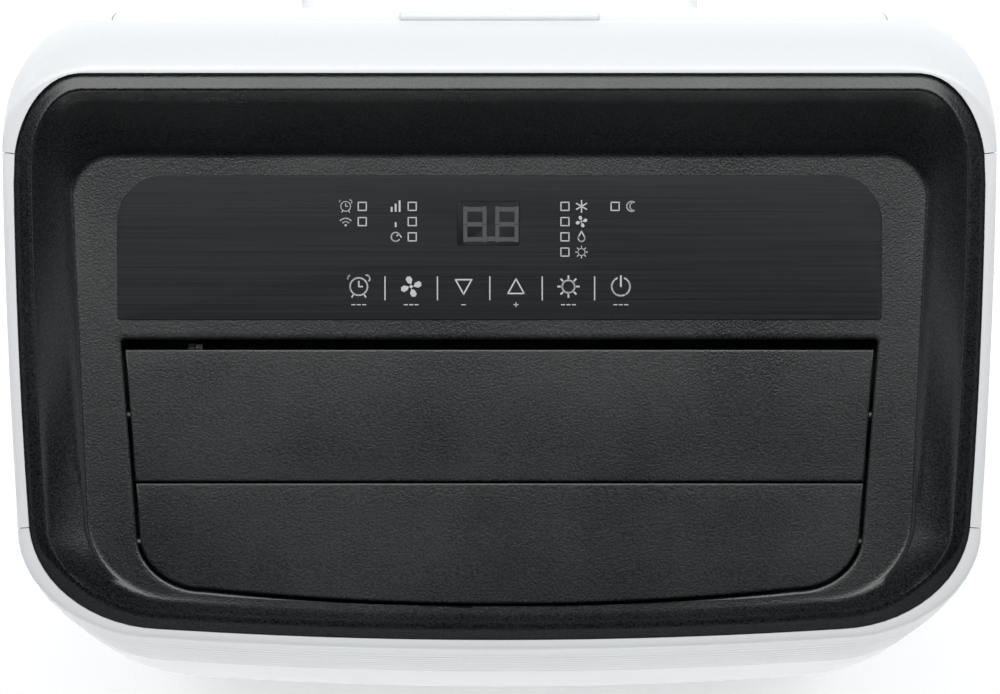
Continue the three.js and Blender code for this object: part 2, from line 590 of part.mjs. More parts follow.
// ---------------------------------------------------------------- cold half
function makeFan(prefix, fan, outletLow, outletHigh, outletTop) {
  const y0 = fan.y - fan.depth / 2;
  const y1 = fan.y + fan.depth / 2;
  const at = [fan.x, 0, fan.z];
  const wall = THIN_WALL;
  const casing = bar('y', fan.radius, y0, y1, at, 32)
    .add(block(outletLow, outletHigh, y0, y1, fan.z, outletTop));
  const hollow = bar('y', fan.radius - wall, y0 + wall, y1 - wall, at, 32)
    .add(block(outletLow + wall, outletHigh - wall, y0 + wall, y1 - wall, fan.z, outletTop + 1));
  const inlet = bar('y', fan.wheel - 16, y1 - wall - 1, y1 + 1, at, 24);
  const shaftHole = bar('y', 8, y0 - 1, y0 + wall + 1, at);
  place(`${prefix}_fan_housing`, casing.subtract(hollow).subtract(inlet).subtract(shaftHole), INNER);

  const w0 = y0 + wall + 4;
  const w1 = y1 - wall - 6;
  let wheel = bar('y', fan.wheel, w0, w0 + 3, at, 24)
    .add(bar('y', fan.wheel, w1 - 4, w1, at, 24).subtract(bar('y', fan.wheel - 14, w1 - 5, w1 + 1, at, 24)))
    .add(bar('y', 10, w0, w0 + 22, at, 16));
  for (let i = 0; i < FAN_BLADES; i += 1) {
    const blade = new THREE.BoxGeometry(11, w1 - w0 - 3, 1.6);
    blade.rotateY(0.7);
    blade.translate(fan.wheel - 7.5, (w0 + w1) / 2, 0);
    blade.rotateY((i / FAN_BLADES) * Math.PI * 2);
    blade.translate(fan.x, 0, fan.z);
    wheel = wheel.add(solid(blade));
  }
  place(`${prefix}_fan_wheel`, wheel.subtract(bar('y', 4 + RUNNING, w0 - 1, w0 + 18, at)), BLACK);

  const motor = bar('y', 32, y0 - GAP - 26, y0 - GAP, at, 24)
    .add(bar('y', 20, y0 - GAP - 30, y0 - GAP - 25, at, 24))
    .add(bar('y', 4, y0 - GAP - 1, w0 + 15, at));
  place(`${prefix}_fan_motor`, motor, STEEL);
}

function makeCoil(name, low, high) {
  let coil = block(-COIL_HALF, COIL_HALF, COIL_FRONT_Y, COIL_FRONT_Y + COIL_DEPTH, low, high);
  const grooves = 12;
  for (let i = 1; i < grooves; i += 1) {
    const x = -COIL_HALF + (i / grooves) * COIL_HALF * 2;
    const y = COIL_FRONT_Y + COIL_DEPTH;
    coil = coil.subtract(block(x - 1.5, x + 1.5, y - 3, y + 1, low + 6, high - 6));
  }
  place(name, coil, FINS);
}

function makeInside() {
  const upperSide = UPPER_FAN.x + UPPER_FAN.radius;
  makeFan('upper', UPPER_FAN, UPPER_FAN.x - 10, upperSide, DUCT_BOTTOM - 2);
  const lowerSide = LOWER_FAN.x + LOWER_FAN.radius;
  makeFan('lower', LOWER_FAN, LOWER_FAN.x - 10, lowerSide, LOWER_FAN.z + LOWER_FAN.radius + 4);
  makeCoil('evaporator', DIVIDER_Z + 18, HEIGHT - 62);
  makeCoil('condenser', 84, EXHAUST_Z - EXHAUST_HEIGHT / 2 - 8);
  const [wide, deep] = [DIVIDER_HALF, DIVIDER_DEPTH / 2];
  const tray = block(-wide, wide, -deep, deep, DIVIDER_Z, DIVIDER_Z + DIVIDER_HEIGHT);
  const floor = DIVIDER_Z + WALL;
  const hollow = block(WALL - wide, wide - WALL, WALL - deep, deep - WALL, floor, floor + DIVIDER_HEIGHT);
  place('divider_tray', tray.subtract(hollow), INNER);
  makeExhaustDuct();
  makeControls();
}

function makeControls() {
  const { x0, x1, front, back, bottom, top } = CONTROL_BOX;
  const box = block(x0, x1, front, back, bottom, top);
  const hollow = block(x0 + WALL, x1 - WALL, front - 2, back - WALL, bottom + WALL, top - WALL);
  place('control_box', box.subtract(hollow), INNER);
  const boardY = back - 10;
  const board = block(x0 + 6, x1 - 6, boardY, boardY + BOARD_THICKNESS, bottom + 6, top - 6);
  place('main_board', board, BOARD);
  const { x, y, z, radius, height } = CAPACITOR;
  place('run_capacitor', bar('z', radius, z, z + height, [x, y, 0], 20), STEEL);
}

function makeExhaustDuct() {
  const wall = THIN_WALL;
  const rearEnd = EXHAUST_FRONT_Y - 8 - GAP;
  const fanTop = LOWER_FAN.z + LOWER_FAN.radius + 4 + GAP;
  const high = EXHAUST_Z + EXHAUST_HEIGHT / 2;
  const low = EXHAUST_Z - EXHAUST_HEIGHT / 2 + 1;
  const back = LOWER_FAN.y + LOWER_FAN.depth / 2 + GAP;
  const side = LOWER_FAN.x + LOWER_FAN.radius;
  const front = LOWER_FAN.y - LOWER_FAN.depth / 2;
  const half = EXHAUST_DUCT_HALF;
  const shape = (inset) => {
    const box = block(inset - half, half - inset, back + inset, rearEnd - inset, low + inset, high - inset);
    return box.add(block(-20 + inset, side - inset, front + inset, back + 10, fanTop + inset, high - inset));
  };
  const intoFan = block(LOWER_FAN.x, side - wall, front + wall, back - 3, fanTop - 1, fanTop + wall + 1);
  const duct = shape(0)
    .subtract(shape(wall))
    .subtract(intoFan)
    .subtract(bar('y', EXHAUST_R - 2, rearEnd - 10, rearEnd + 1, [0, 0, EXHAUST_Z], 32));
  place('exhaust_duct', duct, INNER);
}

// ---------------------------------------------------------------- warm half
function pipe(points, radius, steps) {
  const knots = points.map((p) => new THREE.Vector3(...p));
  const extrudePath = new THREE.CatmullRomCurve3(knots, false, 'centripetal');
  const section = new THREE.Shape();
  section.absarc(0, 0, radius, 0, Math.PI * 2, false);
  const settings = { steps, curveSegments: 8, bevelEnabled: false, extrudePath };
  return solid(new THREE.ExtrudeGeometry(section, settings));
}

function makeCompressor() {
  const { x, y, z, radius, height } = COMPRESSOR;
  const profile = [
    [0, 0],
    [radius - 8, 0],
    [radius, 10],
    [radius, height - 22],
    [radius - 14, height - 4],
    [0, height],
  ];
  place('compressor', turned(profile, [x, y, z], 28), STEEL);
  for (let i = 0; i < 3; i += 1) {
    const turn = (i / 3) * Math.PI * 2 + Math.PI / 6;
    const spot = [x + (radius - 24) * Math.cos(turn), y + (radius - 24) * Math.sin(turn), 0];
    place(`compressor_foot_${i + 1}`, bar('z', 10, CASTER_HEIGHT + 4 + GAP, z - GAP, spot, 16), RUBBER);
  }
  const can = [x, y - radius - 28, 0];
  place('accumulator', bar('z', 18, z + 16, z + height - 20, can, 20), STEEL);
  const inner = WIDTH / 2 - 32;
  const coilX = -COIL_HALF - GAP;
  const coilY = COIL_FRONT_Y + COIL_DEPTH / 2;
  const suction = [
    [can[0], can[1], z + height - 19.5],
    [can[0], can[1], z + height + 10],
    [-inner, -50, z + height + 50],
    [-inner, 60, DIVIDER_Z],
    [-inner, coilY - 6, DIVIDER_Z + 40],
    [-inner + 16, coilY, DIVIDER_Z + 48],
    [coilX, coilY, DIVIDER_Z + 48],
  ];
  place('suction_pipe', pipe(suction, 6, 30), COPPER);
  const discharge = [
    [x, y, z + height + GAP],
    [x, y, z + height + 14],
    [x - 30, y + 10, z + height + 26],
    [-inner, y + 40, z + height - 10],
    [-inner, coilY - 8, z + 96],
    [-inner + 16, coilY, z + 90],
    [coilX, coilY, z + 90],
  ];
  place('discharge_pipe', pipe(discharge, 4, 30), COPPER);
}

// ---------------------------------------------------------------- base and casters
function makeBase() {
  const plan = {
    half: WIDTH / 2 - 26,
    front: FRONT_Y + 14,
    rear: REAR_Y - 25,
    frontCorner: [58, 48],
    rearCorner: [40, 40],
    bow: 5,
  };
  const floor = CASTER_HEIGHT + 4;
  const tray = prism(outline(plan), CASTER_HEIGHT, CASTER_HEIGHT + 28)
    .subtract(prism(outline(grown(plan, -WALL)), floor, CASTER_HEIGHT + 30));
  place('base_tray', tray, INNER);
}

function makeCaster(name, x, y) {
  const wheelY = y + CASTER_TRAIL;
  const half = WHEEL_WIDTH / 2;
  const web = 2.5;
  const hub = 6;
  const at = [0, wheelY, WHEEL_R];
  const top = CASTER_HEIGHT - GAP;
  const fork = bar('z', 15, WHEEL_R * 2 + GAP, top, [x, y, 0], 20)
    .add(block(x - half, x + half, y, wheelY + 14, WHEEL_R * 2 + GAP, top))
    .add(block(x - web, x + web, wheelY - 13, wheelY + 13, WHEEL_R - 9, top - 1))
    .subtract(bar('x', hub + RUNNING, x - half, x + half, at, 24));
  place(`${name}_caster_body`, fork, BLACK);
  const wheels = bar('x', WHEEL_R, x - half, x + half, at, 28)
    .subtract(bar('x', WHEEL_R + 1, x - web - RUNNING, x + web + RUNNING, at, 28))
    .add(bar('x', hub, x - half + 1, x + half - 1, at, 24));
  place(`${name}_caster_wheels`, wheels, WHEEL);
}

makeCasing();
makeExhaust();
makeHandles();
makeBezel();
makeLouvre();
makeOutletDuct();
makeVanes();
makeInside();
makeCompressor();
makeBase();
makeCaster('front_left', -CASTER_X, CASTER_FRONT_Y);
makeCaster('front_right', CASTER_X, CASTER_FRONT_Y);
makeCaster('rear_left', -CASTER_X, CASTER_REAR_Y);
makeCaster('rear_right', CASTER_X, CASTER_REAR_Y);

export default group;
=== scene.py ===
"""Portable air conditioner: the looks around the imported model. Millimetres until a mesh is made."""
import json
import math

import bmesh
import bpy
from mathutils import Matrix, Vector


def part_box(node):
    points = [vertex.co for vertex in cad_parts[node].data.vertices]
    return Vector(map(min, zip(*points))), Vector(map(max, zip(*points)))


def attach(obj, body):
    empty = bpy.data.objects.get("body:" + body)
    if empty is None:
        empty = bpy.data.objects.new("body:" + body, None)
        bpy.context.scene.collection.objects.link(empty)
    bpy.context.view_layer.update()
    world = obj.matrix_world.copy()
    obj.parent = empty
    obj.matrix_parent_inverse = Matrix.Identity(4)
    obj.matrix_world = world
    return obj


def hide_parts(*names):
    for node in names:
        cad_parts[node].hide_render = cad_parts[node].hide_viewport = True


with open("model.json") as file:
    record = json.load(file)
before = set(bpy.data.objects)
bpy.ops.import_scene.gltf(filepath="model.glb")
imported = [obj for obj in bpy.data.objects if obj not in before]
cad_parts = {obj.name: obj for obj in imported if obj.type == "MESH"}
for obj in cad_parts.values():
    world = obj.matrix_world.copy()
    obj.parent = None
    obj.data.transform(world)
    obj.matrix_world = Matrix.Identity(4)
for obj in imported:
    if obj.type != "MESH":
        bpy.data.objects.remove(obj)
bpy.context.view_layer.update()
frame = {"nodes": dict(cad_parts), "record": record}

MM = 0.001
ROOT = "cabinet"


def node_box(node):
    """A CAD node's lowest and highest corner, in millimetres."""
    low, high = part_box(node)
    return low / MM, high / MM


# ---------------------------------------------------------------- sizes, from the frame
bezel_low, bezel_high = node_box("top_bezel")
film_low, film_high = node_box("control_film")
window_low, window_high = node_box("display_window")
grille_low, grille_high = node_box("intake_grille")
exhaust_low, exhaust_high = node_box("exhaust_frame")
casing_low = node_box("front_panel")[0]
side_high = node_box("right_side_panel")[1]

HEIGHT = 700.0
WIDTH = 2 * side_high.x
FRONT_Y = casing_low.y
REAR_Y = exhaust_high.y
RIM_SLOPE = 0.16
FLOOR_SLOPE = 0.05
BOWL_DEPTH = 32.0
BEZEL_REAR_Y = bezel_high.y
BEZEL_FRONT_Y = bezel_low.y
BEZEL_HALF = bezel_high.x
BOWL_FLOOR_REAR_Y = 85.9
BOWL_FLOOR_HALF = 190.4
RIM_FRONT_Y = -135.0
SIDE_TAPER = 4.5         # how much narrower the cabinet is towards the front, each side
RIM_REAR_Y = 145.5
SEAM_REAR_Y = 86.0
SEAM_FRONT_Y = -81.0
WALL = 3.0
GAP = 0.4
SAMPLES_FRONT = 12       # points on half of a front edge
SAMPLES_CORNER = 14
SAMPLES_SIDE = 6


def rim_height(y):
    return HEIGHT + RIM_SLOPE * (y - BEZEL_REAR_Y)


def floor_height(y):
    return HEIGHT - BOWL_DEPTH + FLOOR_SLOPE * (y - BOWL_FLOOR_REAR_Y)


# ---------------------------------------------------------------- camera
CAMERA_HEIGHT = 3.09
SENSOR = 36.0
LENS = 195.3
camera_data = bpy.data.cameras.new("camera")
camera_data.sensor_width = SENSOR
camera_data.lens = LENS
camera = bpy.data.objects.new("camera", camera_data)
camera.location = (0.0002, 0.0, CAMERA_HEIGHT)
bpy.context.scene.collection.objects.link(camera)
bpy.context.scene.camera = camera


# ---------------------------------------------------------------- mesh helpers
def make_object(name, shape, slot, body=ROOT, replaces=(), look=None, smooth=35):
    """A mesh piece from (verts, faces) in millimetres, facing out and smooth below an angle."""
    verts, faces = shape
    mesh = bpy.data.meshes.new(name)
    mesh.from_pydata([Vector(v) * MM for v in verts], [], faces)
    work = bmesh.new()
    work.from_mesh(mesh)
    bmesh.ops.remove_doubles(work, verts=work.verts, dist=1e-7)
    bmesh.ops.recalc_face_normals(work, faces=work.faces)
    work.to_mesh(mesh)
    work.free()
    piece = bpy.data.objects.new(name, mesh)
    bpy.context.scene.collection.objects.link(piece)
    mesh.materials.append(MATERIALS[look or slot])
    shade(piece, smooth)
    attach(piece, body)
    for node in replaces:
        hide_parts(node)
    return piece


def shade(piece, angle):
    piece.data.shade_smooth()
    piece.data.set_sharp_from_angle(angle=math.radians(angle))


def join_loops(loops, capped=False):
    """Faces between neighbouring rings of equal length. The last joins the first, or both ends are capped."""
    verts = [p for loop in loops for p in loop]
    count = len(loops[0])
    faces = []
    rows = len(loops)
    for r in range(rows - 1 if capped else rows):
        s = (r + 1) % rows
        for i in range(count):
            j = (i + 1) % count
            faces.append((r * count + i, r * count + j, s * count + j, s * count + i))
    if capped:
        faces.append(tuple(range(count)))
        faces.append(tuple(range((rows - 1) * count, rows * count)))
    return verts, faces


def outline(half, front, rear, front_corner, rear_corner, bow=0.0, front_half=None, swell=0.0):
    """Plan outline, counter-clockwise from the middle of the front edge."""
    front_half = half if front_half is None else front_half
    frx, fry = front_corner
    rrx, rry = rear_corner
    right = []
    for i in range(1, SAMPLES_FRONT):
        share = i / SAMPLES_FRONT
        right.append(((front_half - frx) * share, front + bow * share * share))
    for i in range(SAMPLES_CORNER + 1):
        turn = i / SAMPLES_CORNER * math.pi / 2
        right.append((front_half - frx + frx * math.sin(turn), front + bow + fry * (1 - math.cos(turn))))
    low, high = front + bow + fry, rear - rry
    for i in range(1, SAMPLES_SIDE):
        share = i / SAMPLES_SIDE
        width = share + swell * share * (1 - share)
        right.append((front_half + (half - front_half) * width, low + (high - low) * share))
    for i in range(SAMPLES_CORNER + 1):
        turn = i / SAMPLES_CORNER * math.pi / 2
        right.append((half - rrx + rrx * math.cos(turn), rear - rry + rry * math.sin(turn)))
    for i in range(1, SAMPLES_FRONT):
        right.append(((half - rrx) * (1 - i / SAMPLES_FRONT), rear))
    left = [(-x, y) for x, y in reversed(right)]
    return [(0.0, front), *right, (0.0, rear), *left]


def grown(shape, by):
    front_half = shape.get("front_half", shape["half"])
    return {
        **shape,
        "half": shape["half"] + by,
        "front_half": front_half + by,
        "front": shape["front"] - by,
        "rear": shape["rear"] + by,
        "front_corner": tuple(max(r + by, 0.4) for r in shape["front_corner"]),
        "rear_corner": tuple(max(r + by, 0.4) for r in shape["rear_corner"]),
    }


def box_mesh(x0, x1, y0, y1, z0, z1):
    verts = [(x, y, z) for x in (x0, x1) for y in (y0, y1) for z in (z0, z1)]
    faces = [(0, 1, 3, 2), (4, 6, 7, 5), (0, 4, 5, 1), (2, 3, 7, 6), (0, 2, 6, 4), (1, 5, 7, 3)]
    return verts, faces


def merge(parts):
    """Several (verts, faces) as one."""
    verts, faces = [], []
    for part_verts, part_faces in parts:
        base = len(verts)
        verts.extend(part_verts)
        faces.extend(tuple(base + i for i in face) for face in part_faces)
    return verts, faces


def rounded_bar(x0, x1, y0, y1, z0, z1, radius, axis="y", steps=5):
    """A box with its four long edges along one axis rounded."""
    def corner_points(a0, a1, b0, b1):
        points = []
        for ca, cb, start in ((a1, b1, 0), (a0, b1, 90), (a0, b0, 180), (a1, b0, 270)):
            sa = -1 if ca == a1 else 1
            sb = -1 if cb == b1 else 1
            for i in range(steps + 1):
                turn = math.radians(start + 90 * i / steps)
                across, along = radius * (sa + math.cos(turn)), radius * (sb + math.sin(turn))
                points.append((ca + across, cb + along))
        return points
    if axis == "y":
        rings = [[(a, y, b) for a, b in corner_points(x0, x1, z0, z1)] for y in (y0, y1)]
    elif axis == "x":
        rings = [[(x, a, b) for a, b in corner_points(y0, y1, z0, z1)] for x in (x0, x1)]
    else:
        rings = [[(a, b, z) for a, b in corner_points(x0, x1, y0, y1)] for z in (z0, z1)]
    return join_loops(rings, capped=True)


def round_bar(axis, radius, a, b, at, sides=32):
    rings = []
    for along in (a, b):
        ring = []
        for i in range(sides):
            turn = i / sides * math.tau
            u, v = radius * math.cos(turn), radius * math.sin(turn)
            if axis == "x":
                ring.append((along, at[1] + u, at[2] + v))
            elif axis == "y":
                ring.append((at[0] + u, along, at[2] + v))
            else:
                ring.append((at[0] + u, at[1] + v, along))
        rings.append(ring)
    return join_loops(rings, capped=True)


def cut(piece, parts, angle=35):
    """Cuts closed shapes out of a piece."""
    verts, faces = merge(parts)
    mesh = bpy.data.meshes.new("cutter")
    mesh.from_pydata([Vector(v) * MM for v in verts], [], faces)
    work = bmesh.new()
    work.from_mesh(mesh)
    bmesh.ops.recalc_face_normals(work, faces=work.faces)
    work.to_mesh(mesh)
    work.free()
    cutter = bpy.data.objects.new("cutter", mesh)
    bpy.context.scene.collection.objects.link(cutter)
    modifier = piece.modifiers.new("cut", "BOOLEAN")
    modifier.operation = "DIFFERENCE"
    modifier.solver = "EXACT"
    modifier.object = cutter
    apply_modifiers(piece)
    bpy.data.objects.remove(cutter)
    shade(piece, angle)


def apply_modifiers(piece):
    bpy.context.view_layer.update()
    graph = bpy.context.evaluated_depsgraph_get()
    mesh = bpy.data.meshes.new_from_object(piece.evaluated_get(graph))
    piece.modifiers.clear()
    piece.data = mesh


def edge_bevel(piece, width, segments=2, angle=40):
    modifier = piece.modifiers.new("edges", "BEVEL")
    modifier.width = width * MM
    modifier.segments = segments
    modifier.limit_method = "ANGLE"
    modifier.angle_limit = math.radians(angle)
    modifier.harden_normals = False
    apply_modifiers(piece)
    shade(piece, 35)


# ---------------------------------------------------------------- materials
def new_material(name, color, roughness, metallic=0.0, specular=0.5, coat=0.0):
    material = bpy.data.materials.new(name)
    material.use_nodes = True
    shader = material.node_tree.nodes["Principled BSDF"]
    shader.inputs["Base Color"].default_value = (*color, 1)
    shader.inputs["Roughness"].default_value = roughness
    shader.inputs["Metallic"].default_value = metallic
    shader.inputs["Specular IOR Level"].default_value = specular
    shader.inputs["Coat Weight"].default_value = coat
    return material, shader


def texture(material, kind, scale, stretch=(1, 1, 1), **inputs):
    """A texture in object space, with a stretch for brushed or banded surfaces."""
    tree = material.node_tree
    place = tree.nodes.new("ShaderNodeTexCoord")
    mapping = tree.nodes.new("ShaderNodeMapping")
    mapping.inputs["Scale"].default_value = stretch
    node = tree.nodes.new(kind)
    node.inputs["Scale"].default_value = scale
    for key, value in inputs.items():
        node.inputs[key].default_value = value
    tree.links.new(place.outputs["Object"], mapping.inputs["Vector"])
    tree.links.new(mapping.outputs["Vector"], node.inputs["Vector"])
    return node.outputs[0]


def ramp(material, source, low, high, from_low=0.3, from_high=0.7):
    """A map from a texture value to a number between low and high."""
    node = material.node_tree.nodes.new("ShaderNodeMapRange")
    node.inputs["From Min"].default_value = from_low
    node.inputs["From Max"].default_value = from_high
    node.inputs["To Min"].default_value = low
    node.inputs["To Max"].default_value = high
    material.node_tree.links.new(source, node.inputs["Value"])
    return node.outputs["Result"]


def mix_colors(material, factor, first, second):
    node = material.node_tree.nodes.new("ShaderNodeMix")
    node.data_type = "RGBA"
    node.inputs["A"].default_value = (*first, 1)
    node.inputs["B"].default_value = (*second, 1)
    material.node_tree.links.new(factor, node.inputs["Factor"])
    return node.outputs["Result"]


def bump(material, shader, sources):
    """Stacked bumps, each (height, strength, distance in millimetres)."""
    tree = material.node_tree
    normal = None
    for height, strength, distance in sources:
        node = tree.nodes.new("ShaderNodeBump")
        node.inputs["Strength"].default_value = strength
        node.inputs["Distance"].default_value = distance * MM
        tree.links.new(height, node.inputs["Height"])
        if normal is not None:
            tree.links.new(normal, node.inputs["Normal"])
        normal = node.outputs["Normal"]
    tree.links.new(normal, shader.inputs["Normal"])


def edge_wear(material, color, worn, strength=0.35):
    """Lightens edges a little, where hands and cloths rub them."""
    tree = material.node_tree
    geometry = tree.nodes.new("ShaderNodeNewGeometry")
    edge = ramp(material, geometry.outputs["Pointiness"], 0.0, strength, 0.505, 0.56)
    node = tree.nodes.new("ShaderNodeMix")
    node.data_type = "RGBA"
    node.inputs["B"].default_value = (*worn, 1)
    tree.links.new(color, node.inputs["A"])
    tree.links.new(edge, node.inputs["Factor"])
    return node.outputs["Result"]


def plastic(name, color, variation, roughness, grain, grain_strength, specular=0.5, worn=None, coat=0.0):
    """Moulded plastic: a fine spark grain, a soft large waviness, and roughness that varies."""
    material, shader = new_material(name, color, roughness, specular=specular, coat=coat)
    tree = material.node_tree
    fine = texture(material, "ShaderNodeTexNoise", grain, Detail=2.0, Roughness=0.55)
    broad = texture(material, "ShaderNodeTexNoise", 14.0, Detail=3.0)
    lighter = tuple(min(1.0, c * (1 + variation)) for c in color)
    darker = tuple(c * (1 - variation) for c in color)
    tint = mix_colors(material, ramp(material, fine, 0.0, 1.0, 0.35, 0.65), darker, lighter)
    if worn:
        tint = edge_wear(material, tint, worn)
    tree.links.new(tint, shader.inputs["Base Color"])
    tree.links.new(ramp(material, broad, roughness - 0.05, roughness + 0.07), shader.inputs["Roughness"])
    bump(material, shader, [(fine, grain_strength, 0.12), (broad, 0.015, 0.8)])
    return material


def brushed(name, color, lighter, roughness, metallic, stretch, specular=0.5):
    """A surface with fine straight brush lines."""
    material, shader = new_material(name, color, roughness, metallic=metallic, specular=specular)
    tree = material.node_tree
    lines = texture(material, "ShaderNodeTexNoise", 1.0, stretch=stretch, Detail=4.0, Roughness=0.7)
    streaks = texture(material, "ShaderNodeTexNoise", 0.35, stretch=stretch, Detail=2.0)
    tint = mix_colors(material, ramp(material, lines, 0.0, 1.0, 0.36, 0.66), color, lighter)
    tree.links.new(tint, shader.inputs["Base Color"])
    tree.links.new(ramp(material, streaks, roughness - 0.06, roughness + 0.1), shader.inputs["Roughness"])
    bump(material, shader, [(lines, 0.12, 0.05)])
    return material


def make_materials():
    white, worn_white = (0.735, 0.755, 0.775), (0.9, 0.91, 0.92)
    black, dark_glass = (0.0088, 0.0104, 0.0115), (0.0095, 0.0117, 0.0132)
    film, film_lines = (0.0060, 0.0078, 0.0088), (0.0165, 0.0198, 0.0218)
    paint, worn_paint = (0.03, 0.032, 0.035), (0.2, 0.2, 0.2)
    return {
        "white_shell": plastic("white_plastic", white, 0.01, 0.36, 900.0, 0.05, worn=worn_white, coat=0.1),
        "black_shell": plastic("black_grain", black, 0.9, 0.3, 1100.0, 0.9, specular=0.62),
        "film": brushed("brushed_film", film, film_lines, 0.34, 0.0, (10, 3200, 10), 0.2),
        "window": plastic("dark_window", dark_glass, 0.05, 0.5, 300.0, 0.01, specular=0.2),
        "board": plastic("board_lacquer", (0.015, 0.12, 0.05), 0.2, 0.35, 420.0, 0.2),
        "inner": plastic("inner_plastic", (0.62, 0.63, 0.64), 0.04, 0.5, 700.0, 0.15, worn=(0.75,) * 3),
        "mesh": filter_material(),
        "fins": fin_material(),
        "steel": plastic("black_paint", paint, 0.15, 0.35, 500.0, 0.12, worn=worn_paint, coat=0.3),
        "copper": brushed("copper_tube", (0.66, 0.30, 0.16), (0.82, 0.45, 0.28), 0.3, 1.0, (60, 60, 900)),
        "rubber": plastic("soft_rubber", (0.022, 0.022, 0.023), 0.2, 0.75, 900.0, 0.35),
        "wheel": plastic("caster_tread", (0.10, 0.105, 0.11), 0.12, 0.55, 800.0, 0.25, worn=worn_paint),
    }


def filter_material():
    """A woven net: crossed fine waves."""
    material, shader = new_material("filter_net", (0.05, 0.055, 0.06), 0.7)
    tree = material.node_tree
    heights = []
    for direction in ("X", "Z"):
        wave = texture(material, "ShaderNodeTexWave", 260.0)
        wave.node.bands_direction = direction
        heights.append((wave, 0.6, 0.25))
    tint = mix_colors(material, heights[0][0], (0.02, 0.022, 0.025), (0.12, 0.13, 0.14))
    tree.links.new(tint, shader.inputs["Base Color"])
    bump(material, shader, heights)
    return material


def fin_material():
    """Aluminium fins, packed closely side by side, with painted shade: darker bands stand for the shaded gaps
    between the fins.
    """
    material, shader = new_material("coil_fins", (0.7, 0.73, 0.76), 0.35, metallic=0.9)
    tree = material.node_tree
    fins = texture(material, "ShaderNodeTexWave", 180.0)
    rows = texture(material, "ShaderNodeTexNoise", 60.0, Detail=2.0)
    # the darker colour is painted shade in the gaps between fins, the lighter one is the aluminium
    tint = mix_colors(material, fins, (0.25, 0.27, 0.29), (0.82, 0.85, 0.88))
    tree.links.new(tint, shader.inputs["Base Color"])
    tree.links.new(ramp(material, rows, 0.3, 0.5), shader.inputs["Roughness"])
    bump(material, shader, [(fins, 0.8, 0.6)])
    return material


MATERIALS = make_materials()
slot_of = {row["node"]: row["material_slot"] for row in frame["record"]["subparts"]}
for node_name, node_object in frame["nodes"].items():
    node_object.data.materials.clear()
    node_object.data.materials.append(MATERIALS[slot_of[node_name]])


# ---------------------------------------------------------------- top bezel
BEZEL_PLAN = {
    "half": BEZEL_HALF, "front_half": BEZEL_HALF - SIDE_TAPER, "front": BEZEL_FRONT_Y, "rear": BEZEL_REAR_Y,
    "front_corner": (60, 49), "rear_corner": (30, 44), "bow": 4.8, "swell": 1.0,
}
FLOOR_PLAN = {
    "half": BOWL_FLOOR_HALF, "front_half": BOWL_FLOOR_HALF - 6, "front": BEZEL_FRONT_Y + 13,
    "rear": BOWL_FLOOR_REAR_Y, "front_corner": (40, 36), "rear_corner": (18, 18), "bow": 6,
}
OUTLET_PLAN = {
    "half": 169.2, "front_half": 162.7, "front": -116.6, "rear": 3.3,
    "front_corner": (30, 26), "rear_corner": (1.8, 1.8), "bow": 7,
}
SKIRT = 18.0
FRONT_ROLL = (88.0, 120.0)   # how far forward the rim starts to roll over, and ends
ROLL_WIDTH = 8.0
ROLL_DROP = 3.4              # extra fall of the front lip at its outer edge
ROLL_EDGE = 2.75             # drop at which the bezel's outer edge turns down
# The bezel's section, as (inset, drop) from its edge at the rim: outer face, band, and inner return.
RIM_PROFILE = (
    (0.25, SKIRT), (0.25, 5.6), (-0.9, 5.4), (-0.9, 4.3), (0.1, 4.1), (0.1, 3.0), (0.25, 2.65), (0.6, 2.4),
    (2.4, 1.7), (4.0, 1.0), (5.6, 0.32), (6.4, 0.06), (7.0, 0.1), (7.5, 0.42),
)
CREST = (7.9, 1.0)
FOOT_PROFILE = ((1.1, 1.0), (0.3, 0.3), (-0.6, 0.04), (-1.8, 0.0))
OUTLET_PROFILE = ((3.0, 0.0), (1.3, 0.0), (0.6, 0.12), (0.15, 0.5), (0.05, 1.2), (0.05, WALL - 0.1))
RETURN_PROFILE = ((9.0, 7.5), (2.4, 7.5), (2.4, SKIRT))
WALL_SHARES = (0.2, 0.4, 0.6, 0.8)
WALL_SAG = 1.2


def smoothstep(value, low, high):
    t = max(0.0, min(1.0, (value - low) / (high - low)))
    return t * t * (3 - 2 * t)


def rim_loop(inset, drop):
    """A loop inside the bezel's edge, below the rim. The front lip rolls over further than the rest."""
    loop = []
    for x, y in outline(**grown(BEZEL_PLAN, -inset)):
        plain = rim_height(y) - drop
        fall = ROLL_DROP * max(0.0, 1 - inset / ROLL_WIDTH) ** 2
        rolled = floor_height(y) - 0.3 - fall - max(0.0, drop - ROLL_EDGE)
        loop.append((x, y, plain + (rolled - plain) * smoothstep(-y, *FRONT_ROLL)))
    return loop


def plan_loop(plan, by, drop):
    return [(x, y, floor_height(y) - drop) for x, y in outline(**grown(plan, by))]


def foot_loop(by, rise):
    """A loop where the bowl's wall meets its floor. The front has no wall, so it doesn't rise there."""
    return [(x, y, floor_height(y) + rise * (1 - smoothstep(-y, *FRONT_ROLL)))
            for x, y in outline(**grown(FLOOR_PLAN, by))]


def blend_loops(first, second, share, sag=0.0):
    """Part of the way from one loop to another, bellied down by sag."""
    made = []
    for a, b in zip(first, second):
        point = [p + (q - p) * share for p, q in zip(a, b)]
        point[2] -= sag * 4 * share * (1 - share) * min(1.0, (a[2] - b[2]) / 20)
        made.append(tuple(point))
    return made


